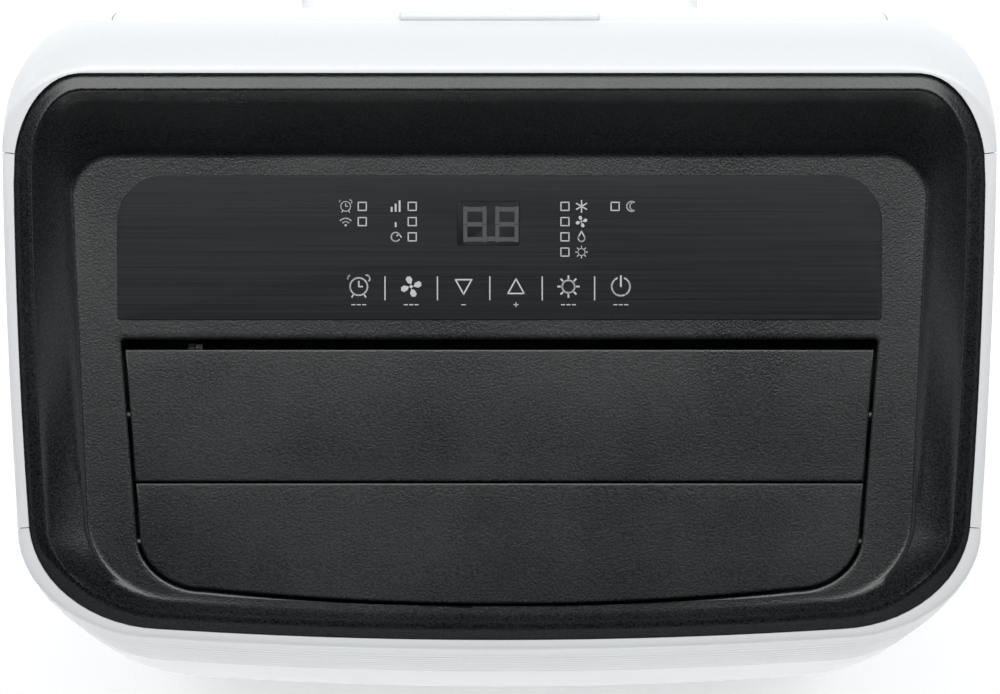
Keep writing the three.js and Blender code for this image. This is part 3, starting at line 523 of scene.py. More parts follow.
def make_bezel():
    crest = rim_loop(*CREST)
    foot = foot_loop(2.0, 2.4)
    loops = [rim_loop(*step) for step in RIM_PROFILE]
    loops.append(crest)
    loops += [blend_loops(crest, foot, share, WALL_SAG) for share in WALL_SHARES]
    loops.append(foot)
    loops += [foot_loop(*step) for step in FOOT_PROFILE]
    loops += [plan_loop(OUTLET_PLAN, *step) for step in OUTLET_PROFILE]
    loops.append(plan_loop(FLOOR_PLAN, 0.0, WALL - 0.1))
    loops += [rim_loop(*step) for step in RETURN_PROFILE]
    make_object("bezel", join_loops(loops), "black_shell", replaces=["top_bezel"])


# ---------------------------------------------------------------- louvre leaves
LEAF_EDGE = 1.5
LEAF_THICKNESS = 3.0
AXIS_DEPTH = 8.0
CRANK_X = -140.0
CRANK_REACH = 28.0
CRANK_DROP = 8.0
PIN_R = 3.0
PIN_END = 172.3          # how far from the middle a leaf's pins reach
LUG_X = 155.8
LEAF_REAR_GAP = 4.4
SEAM_HALF = 0.35
RIB_PITCH = 60.0         # ribs under a leaf
RIB_FIRST = -90.0
RIB_COUNT = 4
LEAF_STEPS = ((0.0, 1.0), (0.0, 0.65), (0.12, 0.3), (0.35, 0.1), (0.7, 0.02), (1.2, 0.0))
FAR = 400.0              # past the cabinet on every side
LEAF_PLAN = grown(OUTLET_PLAN, -LEAF_EDGE)
SEAM_Y = -60.6


def clipped(loop, low, high):
    """A plan outline kept between two values of y."""
    kept = []
    count = len(loop)
    for i, (x, y) in enumerate(loop):
        nx, ny = loop[(i + 1) % count]
        if low <= y <= high:
            kept.append((x, y))
        for bound in sorted((low, high), reverse=ny < y):
            if (y - bound) * (ny - bound) < 0:
                share = (bound - y) / (ny - y)
                kept.append((x + (nx - x) * share, bound))
    return kept


def plate_from(plan, inset_steps, lower):
    """A plate with a softened upper edge. plan gives the outline at an inset."""
    loops = [[(x, y, floor_height(y) - lower) for x, y in plan(0.3)]]
    loops += [[(x, y, floor_height(y) - drop) for x, y in plan(inset)] for inset, drop in inset_steps]
    return join_loops(loops, capped=True)


def make_leaf(name, node, low, high, axis_y):
    def plan(inset):
        return clipped(outline(**grown(LEAF_PLAN, -inset)), low + inset, high - inset)
    counts = {len(plan(inset)) for inset, _ in LEAF_STEPS} | {len(plan(0.3))}
    if len(counts) > 1:
        raise ValueError(f"{name}: outline changes its count {counts}")
    parts = [plate_from(plan, LEAF_STEPS, LEAF_THICKNESS)]
    top = floor_height(axis_y)
    z = top - AXIS_DEPTH
    for side in (-1, 1):
        lug = side * LUG_X
        a, b = (-PIN_END, lug) if side < 0 else (lug, PIN_END)
        parts.append(rounded_bar(lug - 2, lug + 2, axis_y - 5, axis_y + 5, z - 5, top - 1.5, 1.2, "x"))
        parts.append(round_bar("x", PIN_R, a, b, (0, axis_y, z)))
    pin_y, pin_z = axis_y + CRANK_REACH, z - CRANK_DROP
    side_view = [
        (axis_y - 4, z - 2), (pin_y + 4.5, pin_z - 4.5), (pin_y + 4.5, pin_z + 3.5), (axis_y - 4, z + 5.5),
    ]
    rings = [[(x, y, h) for y, h in side_view] for x in (CRANK_X, CRANK_X + 3)]
    parts.append(join_loops(rings, capped=True))
    for rib in range(RIB_COUNT):
        x = RIB_FIRST + rib * RIB_PITCH
        parts.append(box_mesh(x - 0.8, x + 0.8, axis_y - 18, axis_y + 18, top - 5.2, top - 2))
    make_object(name, merge(parts), "black_shell", node, [node])


def make_louvre():
    rear_y = OUTLET_PLAN["rear"] - LEAF_REAR_GAP
    front_y = OUTLET_PLAN["front"] + LEAF_EDGE
    make_leaf("rear_leaf", "rear_louvre", SEAM_Y + SEAM_HALF, rear_y, (rear_y + SEAM_Y) / 2)
    make_leaf("front_leaf", "front_louvre", -FAR, SEAM_Y - SEAM_HALF, (SEAM_Y + front_y) / 2)


# ---------------------------------------------------------------- control film and its printed marks
FILM_LIFT = 0.2
FILM_TOP = 1.0
FILM_PLAN = {
    "half": film_high.x, "front": film_low.y, "rear": film_high.y,
    "front_corner": (1.5, 1.5), "rear_corner": (21, 21),
}
PRINT_THICKNESS = 0.04
WINDOW_HALF = ((window_high.x - window_low.x) / 2, (window_high.y - window_low.y) / 2)
WINDOW_AT = ((window_high.x + window_low.x) / 2, (window_high.y + window_low.y) / 2)


def make_film():
    loops = [
        plan_loop(FILM_PLAN, 0, -FILM_LIFT), plan_loop(FILM_PLAN, 0, -FILM_TOP + 0.2),
        plan_loop(FILM_PLAN, -0.2, -FILM_TOP + 0.02), plan_loop(FILM_PLAN, -0.5, -FILM_TOP),
    ]
    film = make_object("film", join_loops(loops, capped=True), "film", replaces=["control_film"])
    hx, hy = (half + 0.15 for half in WINDOW_HALF)
    x, y = WINDOW_AT
    cut(film, [rounded_bar(x - hx, x + hx, y - hy, y + hy, HEIGHT - 100, HEIGHT, 0.8, "z")])
    hx, hy = WINDOW_HALF
    loops = []
    for inset, lift in ((0, FILM_LIFT), (0, FILM_TOP - 0.12), (0.12, FILM_TOP - 0.02)):
        ring = outline(hx - inset, y - hy + inset, y + hy - inset, (0.7, 0.7), (0.7, 0.7))
        loops.append([(x + px, py, floor_height(py) + lift) for px, py in ring])
    make_object("display_glass", join_loops(loops, capped=True), "window", replaces=["display_window"])


def around(at, radius, degrees):
    """The point of a circle at an angle."""
    turn = math.radians(degrees)
    return (at[0] + radius * math.cos(turn), at[1] + radius * math.sin(turn))


class Print:
    """Flat printed marks on the film, gathered into one thin mesh."""

    def __init__(self, lift=FILM_TOP):
        self.parts = []
        self.lift = lift

    def add(self, ring):
        top = [(x, y, floor_height(y) + self.lift + PRINT_THICKNESS) for x, y in ring]
        base = [(x, y, floor_height(y) + self.lift + 0.005) for x, y in ring]
        self.parts.append(join_loops([base, top], capped=True))

    def stroke(self, points, width=0.5, closed=False):
        """A line of constant width, one quadrilateral to a stretch."""
        pairs = list(zip(points, points[1:] + points[:1])) if closed else list(zip(points, points[1:]))
        for (ax, ay), (bx, by) in pairs:
            length = math.hypot(bx - ax, by - ay)
            if length < 1e-6:
                continue
            dx, dy = (bx - ax) / length, (by - ay) / length
            ex, ey = dx * width * 0.42, dy * width * 0.42
            nx, ny = -dy * width / 2, dx * width / 2
            self.add([
                (ax - ex - nx, ay - ey - ny), (bx + ex - nx, by + ey - ny),
                (bx + ex + nx, by + ey + ny), (ax - ex + nx, ay - ey + ny),
            ])

    def arc(self, at, radius, start, end, width=0.5, steps=20):
        self.stroke([around(at, radius, start + (end - start) * i / steps) for i in range(steps + 1)], width)

    def dot(self, at, radius, sides=12):
        self.add([around(at, radius, i / sides * 360) for i in range(sides)])

    def square(self, at, side, width=0.5):
        h = side / 2
        x, y = at
        self.stroke([(x - h, y - h), (x + h, y - h), (x + h, y + h), (x - h, y + h)], width, closed=True)

    def build(self, name, look):
        make_object(name, merge(self.parts), "film", look=look)


def clock(marks, x, y, size):
    marks.arc((x, y), size * 0.42, 0, 360, size * 0.07)
    marks.stroke([(x, y + size * 0.24), (x, y), (x + size * 0.17, y)], size * 0.07)
    for side in (-1, 1):
        bell = (x + side * size * 0.36, y + size * 0.38)
        marks.arc(bell, size * 0.17, 45 - side * 80, 135 - side * 45, size * 0.07, 8)
        leg = [(x + side * size * 0.24, y - size * 0.36), (x + side * size * 0.33, y - size * 0.5)]
        marks.stroke(leg, size * 0.07)


BLADE = ((0.1, -0.03), (0.3, -0.17), (0.47, -0.13), (0.52, 0.02), (0.42, 0.13), (0.22, 0.1))


def fan(marks, x, y, size):
    for blade in range(4):
        turn = math.radians(blade * 90 + 20)
        ring = []
        for along, across in BLADE:
            ring.append((x + size * (along * math.cos(turn) - across * math.sin(turn)),
                         y + size * (along * math.sin(turn) + across * math.cos(turn))))
        marks.add(ring)
    marks.dot((x, y), size * 0.08)


def triangle(marks, x, y, size, up):
    s = 1 if up else -1
    marks.stroke([(x - size * 0.42, y - s * size * 0.36), (x + size * 0.42, y - s * size * 0.36),
                  (x, y + s * size * 0.4)], size * 0.075, closed=True)


def sun(marks, x, y, size, rays=8):
    marks.arc((x, y), size * 0.3, 0, 360, size * 0.075)
    for i in range(rays):
        turn = i / rays * math.tau
        dx, dy = size * math.cos(turn), size * math.sin(turn)
        marks.stroke([(x + r * dx, y + r * dy) for r in (0.4, 0.5)], size * 0.085)


def power(marks, x, y, size):
    marks.arc((x, y), size * 0.44, 115, 425, size * 0.075)
    marks.stroke([(x, y + size * 0.02), (x, y + size * 0.5)], size * 0.085)


def flake(marks, x, y, size):
    for turn in (30, 90, 150):
        dx, dy = around((0, 0), size * 0.5, turn)
        marks.stroke([(x - dx, y - dy), (x + dx, y + dy)], size * 0.11)


def drop(marks, x, y, size):
    marks.arc((x, y - size * 0.12), size * 0.28, 150, 390, size * 0.11, 12)
    sides = [(x - size * 0.245, y + size * 0.02), (x, y + size * 0.48), (x + size * 0.245, y + size * 0.02)]
    marks.stroke(sides, size * 0.11)


def moon(marks, x, y, size):
    marks.arc((x, y), size * 0.42, 60, 300, size * 0.11, 14)
    marks.arc((x + size * 0.21, y), size * 0.36, 95, 265, size * 0.11, 12)


def waves(marks, x, y, size):
    marks.dot((x, y - size * 0.32), size * 0.1)
    for radius in (0.34, 0.62):
        marks.arc((x, y - size * 0.34), size * radius, 45, 135, size * 0.11, 8)


def level(marks, x, y, size, count):
    """One to three rising bars."""
    for i in range(count):
        bar_x = x + size * (i - (count - 1) / 2) * 0.34
        marks.stroke([(bar_x, y - size * 0.4), (bar_x, y - size * 0.4 + size * 0.28 * (i + 1))], size * 0.16)


def loop_arrow(marks, x, y, size):
    marks.arc((x, y), size * 0.38, 30, 320, size * 0.11, 16)
    head = ((0.48, -0.02), (0.3, 0.22), (0.1, 0.1))
    marks.stroke([(x + size * a, y + size * b) for a, b in head], size * 0.1)


KEY_Y = 27.0             # row of touch keys
KEY_PITCH = 23.42
KEY_X = -62.9            # the first key
KEY_SIZE = 9.3
LIGHT_Y = 62.8           # top row of indicator lights
LIGHT_PITCH = 6.8
LIGHT_SIDE = 3.6
LIGHT_COLUMNS = (-61.3, -39.0, 29.2, 51.6)
ICON_SIZE = 5.2
ICON_SHIFT = 7.4
DIGIT_SHIFTS = (-6.0, 8.3)  # digits, from the middle of the window
DIGIT_SIZE = (10.4, 15.2)
CAPTION_DROP = 8.1       # the bars under a key


def make_marks():
    marks = Print()
    caption_y = KEY_Y - CAPTION_DROP
    keys = [clock, fan, lambda m, x, y, s: triangle(m, x, y, s * 0.92, False),
            lambda m, x, y, s: triangle(m, x, y, s * 0.92, True), sun, power]
    for i, key in enumerate(keys):
        x = KEY_X + i * KEY_PITCH
        key(marks, x, KEY_Y, KEY_SIZE)
        if i in (2, 3):
            marks.stroke([(x - 0.9, caption_y), (x + 0.9, caption_y)], 0.42)
            if i == 3:
                marks.stroke([(x, caption_y - 0.9), (x, caption_y + 0.9)], 0.42)
        else:
            for dot_x in (-2.4, 0, 2.4):
                marks.stroke([(x + dot_x - 0.7, caption_y), (x + dot_x + 0.7, caption_y)], 0.45)
        if i:
            line_x = x - KEY_PITCH / 2
            marks.stroke([(line_x, KEY_Y - 5.9), (line_x, KEY_Y + 4.3)], 0.55)
    left = [(0, 0, clock), (0, 1, waves), (1, 0, lambda m, x, y, s: level(m, x, y, s, 3)),
            (1, 1, lambda m, x, y, s: level(m, x, y, s, 1)), (1, 2, loop_arrow)]
    right = [(2, 0, flake), (2, 1, fan), (2, 2, drop), (2, 3, sun), (3, 0, moon)]
    for side, rows in ((-1, left), (1, right)):
        for column, row, icon in rows:
            x, y = LIGHT_COLUMNS[column], LIGHT_Y - row * LIGHT_PITCH
            marks.square((x, y), LIGHT_SIDE)
            icon(marks, x + side * ICON_SHIFT, y, ICON_SIZE)
    marks.build("printed_marks", "print")
    digits = Print(FILM_TOP - 0.01)
    for shift in DIGIT_SHIFTS:
        seven_segments(digits, WINDOW_AT[0] + shift, WINDOW_AT[1] - 0.4, *DIGIT_SIZE)
    point_y = WINDOW_AT[1] - 6.9
    digits.stroke([(WINDOW_AT[0] + 0.15, point_y), (WINDOW_AT[0] + 2.15, point_y)], 2.0)
    digits.build("display_digits", "digit")


def seven_segments(marks, x, y, width, height):
    """Seven separate bars: three lying, and four standing that reach almost the full height."""
    thick = 1.8
    hx, hy = width / 2 - thick / 2, height / 2 - thick / 2
    for row in (-1, 0, 1):
        marks.stroke([(x - hx + thick, y + row * hy), (x + hx - thick, y + row * hy)], thick + 0.2)
    for column in (-1, 1):
        for end in (-1, 1):
            marks.stroke([(x + column * hx, y + end * 0.85), (x + column * hx, y + end * (hy + 0.5))], thick)


# ---------------------------------------------------------------- casing
STATIONS = [
    (42, WIDTH / 2 - 16, FRONT_Y + 3, REAR_Y - 5),
    (160, WIDTH / 2 - 13, FRONT_Y + 0.5, REAR_Y - 5),
    (250, WIDTH / 2 - 11, FRONT_Y, REAR_Y - 6),
    (350, WIDTH / 2 - 8, FRONT_Y + 3.5, REAR_Y - 7),
    (450, WIDTH / 2 - 5, FRONT_Y + 11, REAR_Y - 10),
    (560, WIDTH / 2 - 2, FRONT_Y + 24, REAR_Y - 17),
    (HEIGHT - 50, WIDTH / 2, RIM_FRONT_Y - 4, RIM_REAR_Y + 5),
    (HEIGHT - 38, WIDTH / 2, RIM_FRONT_Y, RIM_REAR_Y + 3.5),
    (HEIGHT - 20, WIDTH / 2, RIM_FRONT_Y, RIM_REAR_Y),
    (HEIGHT - 10, WIDTH / 2, RIM_FRONT_Y, RIM_REAR_Y - 7),
    (HEIGHT - 4, WIDTH / 2, RIM_FRONT_Y, RIM_REAR_Y - 14.5),
    (HEIGHT + 1, WIDTH / 2, RIM_FRONT_Y, BEZEL_REAR_Y + 1),
]
CASING_CORNERS = {"front_corner": (62, 52), "rear_corner": (44, 48), "bow": 5}
LEVEL_STEP = 12.0
LIP_RADIUS = 2.2
FLUTE_TOP = 651.0
FLUTE_COUNT = 8
FLUTE_PITCH = 12.0
FLUTE_DEPTH = 1.3
OUTER_SET_BACK = 0.15    # keeps the smooth skin inside the faceted one


def station_at(z):
    """Half width, front and rear at a height, on a smooth curve through the stations."""
    last = len(STATIONS) - 1
    k = max(i for i in range(last) if STATIONS[i][0] <= z or i == 0)
    before, low, high, after = (STATIONS[max(0, min(last, k + d))] for d in (-1, 0, 1, 2))
    t = (z - low[0]) / (high[0] - low[0])
    values = []
    for c in (1, 2, 3):
        span = high[0] - low[0]
        slope_low = (high[c] - before[c]) / (high[0] - before[0]) * span
        slope_high = (after[c] - low[c]) / (after[0] - low[0]) * span
        t2, t3 = t * t, t * t * t
        values.append((2 * t3 - 3 * t2 + 1) * low[c] + (t3 - 2 * t2 + t) * slope_low
                      + (3 * t2 - 2 * t3) * high[c] + (t3 - t2) * slope_high)
    return values


def casing_heights():
    heights = [STATIONS[0][0] + 0.1]
    while heights[-1] + LEVEL_STEP < HEIGHT - 56:
        heights.append(heights[-1] + LEVEL_STEP)
    z = HEIGHT - 50
    while z < HEIGHT + 1:
        heights.append(z)
        z += 4.0 if z < HEIGHT - 24 else 1.5
    return heights


def corner(cx, cy, rx, ry, start, end):
    """Points round an elliptical corner, from one angle to another, in degrees."""
    turns = [math.radians(start + (end - start) * i / SAMPLES_CORNER) for i in range(SAMPLES_CORNER + 1)]
    return [(cx + rx * math.cos(turn), cy + ry * math.sin(turn)) for turn in turns]


def mirrored(right):
    """A run that ends on the middle line, with its other half."""
    return right + [(-x, y) for x, y in reversed(right[:-1])]


def side_x(z, y):
    """Half width of the cabinet at a height and a place along its side: it narrows towards the front."""
    half, front, rear = station_at(z)
    low = front + CASING_CORNERS["bow"] + CASING_CORNERS["front_corner"][1]
    high = rear - CASING_CORNERS["rear_corner"][1]
    share = max(0.0, min(1.0, (y - low) / (high - low)))
    return half - OUTER_SET_BACK - SIDE_TAPER * (1 - share - share * (1 - share))


def side_line(z, y0, y1, count):
    """Points along the right side, from one y to another."""
    steps = [y0 + (y1 - y0) * i / count for i in range(count + 1)]
    return [(side_x(z, y), y) for y in steps]


def front_run(z):
    """The front panel in plan, from its right seam round to its left one."""
    front = station_at(z)[1] + OUTER_SET_BACK
    rx, ry = CASING_CORNERS["front_corner"]
    bow = CASING_CORNERS["bow"]
    start = SEAM_FRONT_Y - GAP / 2
    low = min(front + bow + ry, start - 1)
    half = side_x(z, low)
    right = side_line(z, start, low, 4)[:-1]
    right += corner(half - rx, low, rx, low - front - bow, 0, -90)
    flat = half - rx
    right += [(flat * (1 - i / SAMPLES_FRONT), front + bow * (1 - i / SAMPLES_FRONT) ** 2)
              for i in range(1, SAMPLES_FRONT + 1)]
    return mirrored(right)


def rear_run(z):
    """The rear cover in plan, from its left seam round to its right one."""
    rear = station_at(z)[2] - OUTER_SET_BACK
    rx, ry = CASING_CORNERS["rear_corner"]
    start = SEAM_REAR_Y + GAP / 2
    high = max(rear - ry, start + 1)
    half = side_x(z, high)
    left = [(-x, y) for x, y in side_line(z, start, high, 3)[:-1]]
    left += corner(-half + rx, high, rx, rear - high, 180, 90)
    left += [(-(half - rx) * (1 - i / SAMPLES_FRONT), rear) for i in range(1, SAMPLES_FRONT + 1)]
    return mirrored(left)


def side_run(side):
    def run(z):
        points = [(side * x, y) for x, y in side_line(z, SEAM_REAR_Y - GAP / 2, SEAM_FRONT_Y + GAP / 2, 12)]
        return points if side > 0 else points[::-1]
    return run


def flute(z):
    """How far the front skin sinks at a height: rounded ribs with narrow valleys."""
    down = (FLUTE_TOP - z) / FLUTE_PITCH
    if not 0 <= down <= FLUTE_COUNT:
        return 0.0
    valley = abs(down - round(down)) * FLUTE_PITCH
    return FLUTE_DEPTH * max(0.0, 1 - (valley / 3.2) ** 2)


def inward_at(run, i):
    """Unit vector into the cabinet at a point of a run, which goes clockwise seen from above."""
    ax, ay = run[max(0, i - 1)]
    bx, by = run[min(len(run) - 1, i + 1)]
    dx, dy = bx - ax, by - ay
    length = math.hypot(dx, dy) or 1.0
    return (dy / length, -dx / length)


BEZEL_EDGE = outline(**grown(BEZEL_PLAN, GAP))


def nearest_edge(x, y):
    """The nearest point on the bezel's edge, with its gap."""
    best, found = 1e9, None
    for (ax, ay), (bx, by) in zip(BEZEL_EDGE, BEZEL_EDGE[1:] + BEZEL_EDGE[:1]):
        dx, dy = bx - ax, by - ay
        t = max(0.0, min(1.0, ((x - ax) * dx + (y - ay) * dy) / max(1e-9, dx * dx + dy * dy)))
        px, py = ax + dx * t, ay + dy * t
        distance = math.hypot(px - x, py - y)
        if distance < best:
            best, found = distance, (px, py)
    return found


def casing_panel(name, node, run, fluted=False):
    """A wall of the casing: outer skin, rounded lip at the rim, and inner skin."""
    heights = casing_heights()
    if fluted:
        fine = [FLUTE_TOP + 4 - i * 1.2 for i in range(int((FLUTE_COUNT + 1) * FLUTE_PITCH / 1.2))]
        heights = sorted([z for z in heights if z < fine[-1] - 1 or z > fine[0] + 1] + fine)
    rows = [(z, run(z)) for z in heights]
    columns = len(rows[0][1])
    sections = []
    for c in range(columns):
        share = smoothstep(min(c, columns - 1 - c), 5, 16) if fluted else 0.0
        outer = []
        for z, points in rows:
            dx, dy = inward_at(points, c)
            sink = flute(z) * share
            outer.append((points[c][0] + dx * sink, points[c][1] + dy * sink, z))
        sections.append(close_section(outer, inward_at(rows[len(rows) // 2][1], c)))
    return make_object(name, join_sections(sections), "white_shell", replaces=[node], smooth=32)


def toward(a, b, distance):
    length = math.dist(a, b) or 1.0
    return tuple(p + (q - p) * distance / length for p, q in zip(a, b))


def resample(path, count):
    """A path with a set number of points, spaced as evenly by index as the original."""
    made = []
    for i in range(count):
        place = i / (count - 1) * (len(path) - 1)
        k = min(int(place), len(path) - 2)
        t = place - k
        made.append(tuple(a + (b - a) * t for a, b in zip(path[k], path[k + 1])))
    return made


SECTION_LEVELS = 150
INNER_LEVELS = 10


def close_section(outer, inward):
    """Cuts a column at the rim, rounds it over to the bezel's edge, and returns down the inside."""
    def over(point):
        return point[2] - (rim_height(point[1]) - 0.15)
    kept = [point for point in outer if over(point) < 0]
    last = kept[-1]
    beyond = outer[min(len(kept), len(outer) - 1)]
    rise = over(beyond) - over(last)
    share = min(1.0, -over(last) / rise) if rise > 1e-6 else 0.0
    end = tuple(a + (b - a) * share for a, b in zip(last, beyond))
    edge_x, edge_y = nearest_edge(end[0], end[1])
    edge_point = (edge_x, edge_y, rim_height(edge_y) - 0.15)
    while len(kept) > 2 and math.dist(kept[-1], end) < LIP_RADIUS:
        kept.pop()
    start = toward(end, kept[-1], LIP_RADIUS)
    stop = toward(end, edge_point, min(LIP_RADIUS, 0.6 * math.dist(end, edge_point)))
    lip = [tuple((1 - t) ** 2 * a + 2 * t * (1 - t) * b + t * t * c for a, b, c in zip(start, end, stop))
           for t in (i / 5 for i in range(6))]
    drop = (edge_x, edge_y, edge_point[2] - WALL)
    below = [p for p in kept if p[2] < drop[2] - 16]
    inner = [(x + inward[0] * WALL, y + inward[1] * WALL, z) for x, y, z in below]
    return resample(kept, SECTION_LEVELS) + lip + [edge_point, drop] + resample(inner, INNER_LEVELS)[::-1]


def join_sections(sections):
    """Columns of equal length, joined side by side and closed at both ends."""
    verts = [p for section in sections for p in section]
    count = len(sections[0])
    faces = []
    for s in range(len(sections) - 1):
        for i in range(count):
            j = (i + 1) % count
            faces.append((s * count + i, (s + 1) * count + i, (s + 1) * count + j, s * count + j))
    faces.append(tuple(range(count)))
    faces.append(tuple(range((len(sections) - 1) * count, len(sections) * count)))
    return verts, faces


GRILLE_HALF = grille_high.x
GRILLE_BOTTOM = grille_low.z
GRILLE_TOP = grille_high.z
GRILLE_PITCH = 17.0
SLOT_HEIGHT = 8.0
HANDLE_MARGIN = 0.3
DRAIN_R = 9.0
GLAND_R = 9.0
LOWER_SLOT_BOTTOM = 88.0
LOWER_SLOT_COUNT = 7
LOWER_SLOT_HALF = 150.0
REAR_CUT = (100, 260)    # from inside the rear wall to well behind it
LOWER_CUT = (120, 260)
TAB_HALF = 44.5
EXHAUST_R = 70
COUNTERBORE_R = 75


def make_casing():
    casing_panel("front_shell", "front_panel", front_run, fluted=True)
    for name, side in (("left_side", -1), ("right_side", 1)):
        panel = casing_panel(f"{name}_shell", f"{name}_panel", side_run(side))
        low, high = node_box(name.replace("_side", "_handle"))
        m = HANDLE_MARGIN
        x0, x1 = low.x - 20, high.x + 20
        cut(panel, [rounded_bar(x0, x1, low.y - m, high.y + m, low.z - m, high.z + m, 12, "x", 8)])
    cover = casing_panel("rear_shell", "rear_cover", rear_run)
    m = GAP
    wide = GRILLE_HALF + m
    intake = rounded_bar(-wide, wide, *REAR_CUT, GRILLE_BOTTOM - 1, GRILLE_TOP + m, 3, "y")
    x0, x1, z0, z1 = exhaust_low.x - m, exhaust_high.x + m, exhaust_low.z - m, exhaust_high.z + m
    exhaust = rounded_bar(x0, x1, *REAR_CUT, z0, z1, 10, "y", 8)
    gland_low, gland_high = node_box("cord_gland")
    gland = (gland_low + gland_high) / 2
    holes = [intake, exhaust, round_bar("y", GLAND_R + m, *REAR_CUT, gland)]
    for node in ("upper_drain_plug", "lower_drain_plug"):
        low, high = node_box(node)
        holes.append(round_bar("y", DRAIN_R + 1, *LOWER_CUT, (low + high) / 2))
    for row in range(LOWER_SLOT_COUNT):
        z = LOWER_SLOT_BOTTOM + row * GRILLE_PITCH
        for x0, x1 in ((-LOWER_SLOT_HALF, -DRAIN_R - 8), (DRAIN_R + 8, gland.x - GLAND_R - 8)):
            holes.append(rounded_bar(x0, x1, *LOWER_CUT, z, z + SLOT_HEIGHT, 3.5, "y"))
    cut(cover, holes, 32)


def make_grille():
    heights = [GRILLE_BOTTOM + (GRILLE_TOP - GRILLE_BOTTOM) * i / 44 for i in range(45)]
    outer = [(station_at(z)[2] - OUTER_SET_BACK, z) for z in heights]
    inner = [(y - WALL, z) for y, z in reversed(outer)]
    xs = [-GRILLE_HALF + 2 * GRILLE_HALF * i / 8 for i in range(9)]
    sections = [[(x, y, z) for y, z in outer + inner] for x in xs]
    shape, body = join_sections(sections), "intake_panel"
    panel = make_object("intake_panel_shell", shape, "white_shell", body, ["intake_grille"])
    rows = int((GRILLE_TOP - GRILLE_BOTTOM - 50) // GRILLE_PITCH)
    slots = []
    for row in range(rows):
        z = GRILLE_BOTTOM + 20 + row * GRILLE_PITCH
        for x0, x1 in ((20 - GRILLE_HALF, -4), (4, GRILLE_HALF - 20)):
            slots.append(rounded_bar(x0, x1, *REAR_CUT, z, z + SLOT_HEIGHT, 3.5, "y"))
    cut(panel, slots)
    edge_bevel(panel, 0.45)
    y0, y1, z0, z1 = RIM_REAR_Y - 0.4, RIM_REAR_Y + 3.8, GRILLE_TOP - 9, GRILLE_TOP - 0.2
    shape = rounded_bar(-TAB_HALF, TAB_HALF, y0, y1, z0, z1, 1.8, "x")
    tab = make_object("intake_panel_tab", shape, "white_shell", body)
    edge_bevel(tab, 1.2, 3, 60)


def make_exhaust():
    low, high = exhaust_low, exhaust_high
    shape = rounded_bar(low.x, high.x, low.y, high.y - 0.1, low.z, high.z, 9.6, "y", 8)
    block = make_object("exhaust_surround", shape, "white_shell", replaces=["exhaust_frame"])
    middle = (low + high) / 2
    cut(block, [round_bar("y", EXHAUST_R, low.y - 5, high.y + 5, middle, 72)])
    cut(block, [round_bar("y", COUNTERBORE_R, high.y - 4, high.y + 5, middle, 72)])
    edge_bevel(block, 1.3, 3)


def make_handles():
    for name, side in (("left_handle", -1), ("right_handle", 1)):
        low, high = node_box(name)
        shape = rounded_bar(low.x, high.x, low.y, high.y, low.z, high.z, 11.7, "x", 8)
        cup = make_object(f"{name}_cup", shape, "black_shell", replaces=[name])
        x0, x1 = (low.x - 3, high.x - 2.5) if side < 0 else (low.x + 2.5, high.x + 3)
        cut(cup, [rounded_bar(x0, x1, low.y + 2.5, high.y - 2.5, low.z + 2.5, high.z - 2.5, 9.2, "x", 8)])
        edge_bevel(cup, 0.8, 3)


# ---------------------------------------------------------------- casters
CASTER_TRAIL = 12
GUARD_START = 28         # the guard over a wheel, in degrees
GUARD_SWEEP = 124
GUARD_STEPS = 18
GUARD_GAP = 1.2
GUARD_THICKNESS = 2.4


def turned_x(profile, at, sides=48):
    """A body turned about a line along X through at. Profile points are (x offset, radius)."""
    rings = []
    for offset, radius in profile:
        rings.append([(at[0] + offset, at[1] + radius * math.cos(i / sides * math.tau),
                       at[2] + radius * math.sin(i / sides * math.tau)) for i in range(sides)])
    return join_loops(rings, capped=True)


def make_casters():
    for corner_name in ("front_left", "front_right", "rear_left", "rear_right"):
        low, high = node_box(f"{corner_name}_caster_wheels")
        at = (low + high) / 2
        radius = (high.z - low.z) / 2
        half = (high.x - low.x) / 2
        parts = []
        for side in (-1, 1):
            profile = [
                (3.0, 14.5), (3.0, radius - 1.6), (3.5, radius - 0.5), (4.6, radius), (half - 2.4, radius),
                (half - 1.0, radius - 0.6), (half - 0.3, radius - 2.0), (half - 0.3, 15.6),
                (half - 1.5, 14.8), (half - 1.7, 8.6), (half - 0.9, 8.0), (half - 0.9, 5.6),
            ]
            if side < 0:
                profile = [(-offset, r) for offset, r in profile]
            parts.append(turned_x([(side * 3.0, 5.9), *profile], at))
        parts.append(turned_x([(-half + 1, 5.5), (half - 1, 5.5)], at, 32))
        body, node = f"{corner_name}_wheels", f"{corner_name}_caster_wheels"
        make_object(f"{corner_name}_twin_wheel", merge(parts), "wheel", body, [node])
        make_hood(corner_name, at, radius, half)


def make_hood(corner_name, at, radius, half):
    """The bracket: a cap on the swivel, a web between the wheels, and a curved guard over them."""
    top = node_box(f"{corner_name}_caster_body")[1].z - 0.1
    swivel_y = at.y - CASTER_TRAIL
    arc = [GUARD_START + GUARD_SWEEP * i / GUARD_STEPS for i in range(GUARD_STEPS + 1)]
    axle, under = (at.y, at.z), radius + GUARD_GAP
    outer = [around(axle, under + GUARD_THICKNESS, a) for a in arc]
    inner = [around(axle, under, a) for a in reversed(arc)]
    rings = [[(x, y, z) for y, z in outer + inner] for x in (at.x - half, at.x + half)]
    parts = [join_loops(rings, capped=True)]
    parts.append(round_bar("z", 15, 41.4, top, (at.x, swivel_y, 0), 40))
    parts.append(rounded_bar(at.x - 2.4, at.x + 2.4, at.y - 12.8, at.y + 12.8, 27, 42, 2, "x"))
    body, node = f"{corner_name}_caster", f"{corner_name}_caster_body"
    make_object(f"{corner_name}_bracket", merge(parts), "black_shell", body, [node])


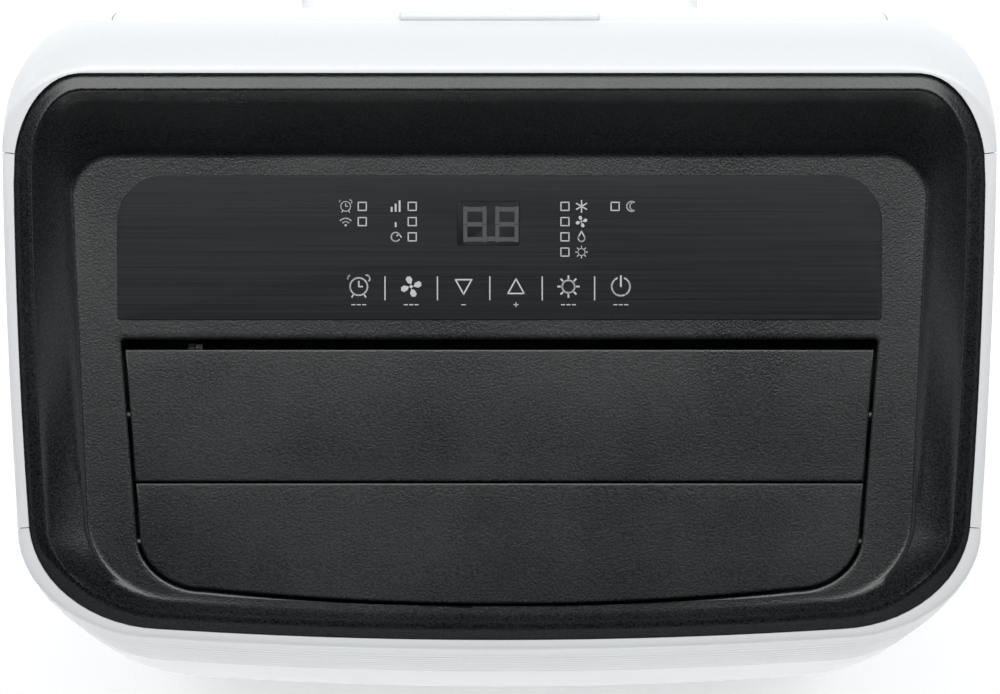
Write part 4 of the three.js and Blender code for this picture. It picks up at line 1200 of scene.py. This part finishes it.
# ---------------------------------------------------------------- stage
def make_world():
    """A soft sky: dimmer overhead and in front, brighter behind and round the horizon."""
    world = bpy.data.worlds.new("studio")
    bpy.context.scene.world = world
    world.use_nodes = True
    tree = world.node_tree
    direction = tree.nodes.new("ShaderNodeTexCoord")
    parts = tree.nodes.new("ShaderNodeSeparateXYZ")
    tree.links.new(direction.outputs["Generated"], parts.inputs["Vector"])
    factors = []
    for axis, (low, high, at_low, at_high) in SKY.items():
        step = tree.nodes.new("ShaderNodeMapRange")
        step.interpolation_type = "SMOOTHSTEP"
        for key, value in (("From Min", low), ("From Max", high), ("To Min", at_low), ("To Max", at_high)):
            step.inputs[key].default_value = value
        tree.links.new(parts.outputs[axis], step.inputs["Value"])
        factors.append(step.outputs["Result"])
    product = tree.nodes.new("ShaderNodeMath")
    product.operation = "MULTIPLY"
    tree.links.new(factors[0], product.inputs[0])
    tree.links.new(factors[1], product.inputs[1])
    tree.links.new(product.outputs[0], tree.nodes["Background"].inputs["Strength"])


def make_stage():
    material, shader = new_material("floor", (0.93, 0.935, 0.945), 0.6, specular=0.1)
    shader.inputs["Emission Color"].default_value = (1, 1, 1, 1)
    shader.inputs["Emission Strength"].default_value = FLOOR_GLOW
    grain = texture(material, "ShaderNodeTexNoise", 30.0, Detail=2.0)
    material.node_tree.links.new(ramp(material, grain, 0.55, 0.65), shader.inputs["Roughness"])
    bpy.ops.mesh.primitive_plane_add(size=80, location=(0, 0, -0.0005))
    ground = bpy.context.object
    ground.name = "floor"
    ground.data.materials.append(material)
    make_world()
    for name, place, aim, size, power, tint in LIGHTS:
        data = bpy.data.lights.new(name, "AREA")
        data.shape = "RECTANGLE"
        data.size, data.size_y = size
        data.energy = power
        data.color = tint
        light = bpy.data.objects.new(name, data)
        light.location = place
        light.rotation_euler = (Vector(aim) - Vector(place)).to_track_quat("-Z", "Y").to_euler()
        bpy.context.scene.collection.objects.link(light)
    bpy.context.scene.view_settings.view_transform = "Standard"


FLOOR_GLOW = 0.42
SKY = {"Y": (-0.7, 0.8, 0.2, 1.3), "Z": (0.1, 0.9, 0.95, 0.14)}
LIGHTS = (
    ("top_softbox", (0.0, 1.72, 3.4), (0.0, 1.72, 0.0), (4.0, 3.12), 163.0, (1.0, 1.0, 1.0)),
    ("front_fill", (0.0, -2.3, 0.2), (0, 0, 0.3), (3.2, 0.34), 33.0, (1.0, 1.0, 1.0)),
    ("left_fill", (-2.6, 0.3, 1.0), (0, 0, 0.6), (2.4, 1.4), 9.0, (0.98, 0.99, 1.0)),
    ("right_fill", (2.6, 0.3, 1.0), (0, 0, 0.6), (2.4, 1.4), 9.0, (0.98, 0.99, 1.0)),
)
MATERIALS["print"] = plastic("printed_ink", (0.50, 0.52, 0.53), 0.05, 0.45, 800.0, 0.05)
MATERIALS["digit"] = plastic("unlit_segment", (0.045, 0.050, 0.053), 0.06, 0.45, 800.0, 0.03)

make_stage()
make_bezel()
make_louvre()
make_film()
make_marks()
make_casing()
make_grille()
make_exhaust()
make_handles()
make_casters()
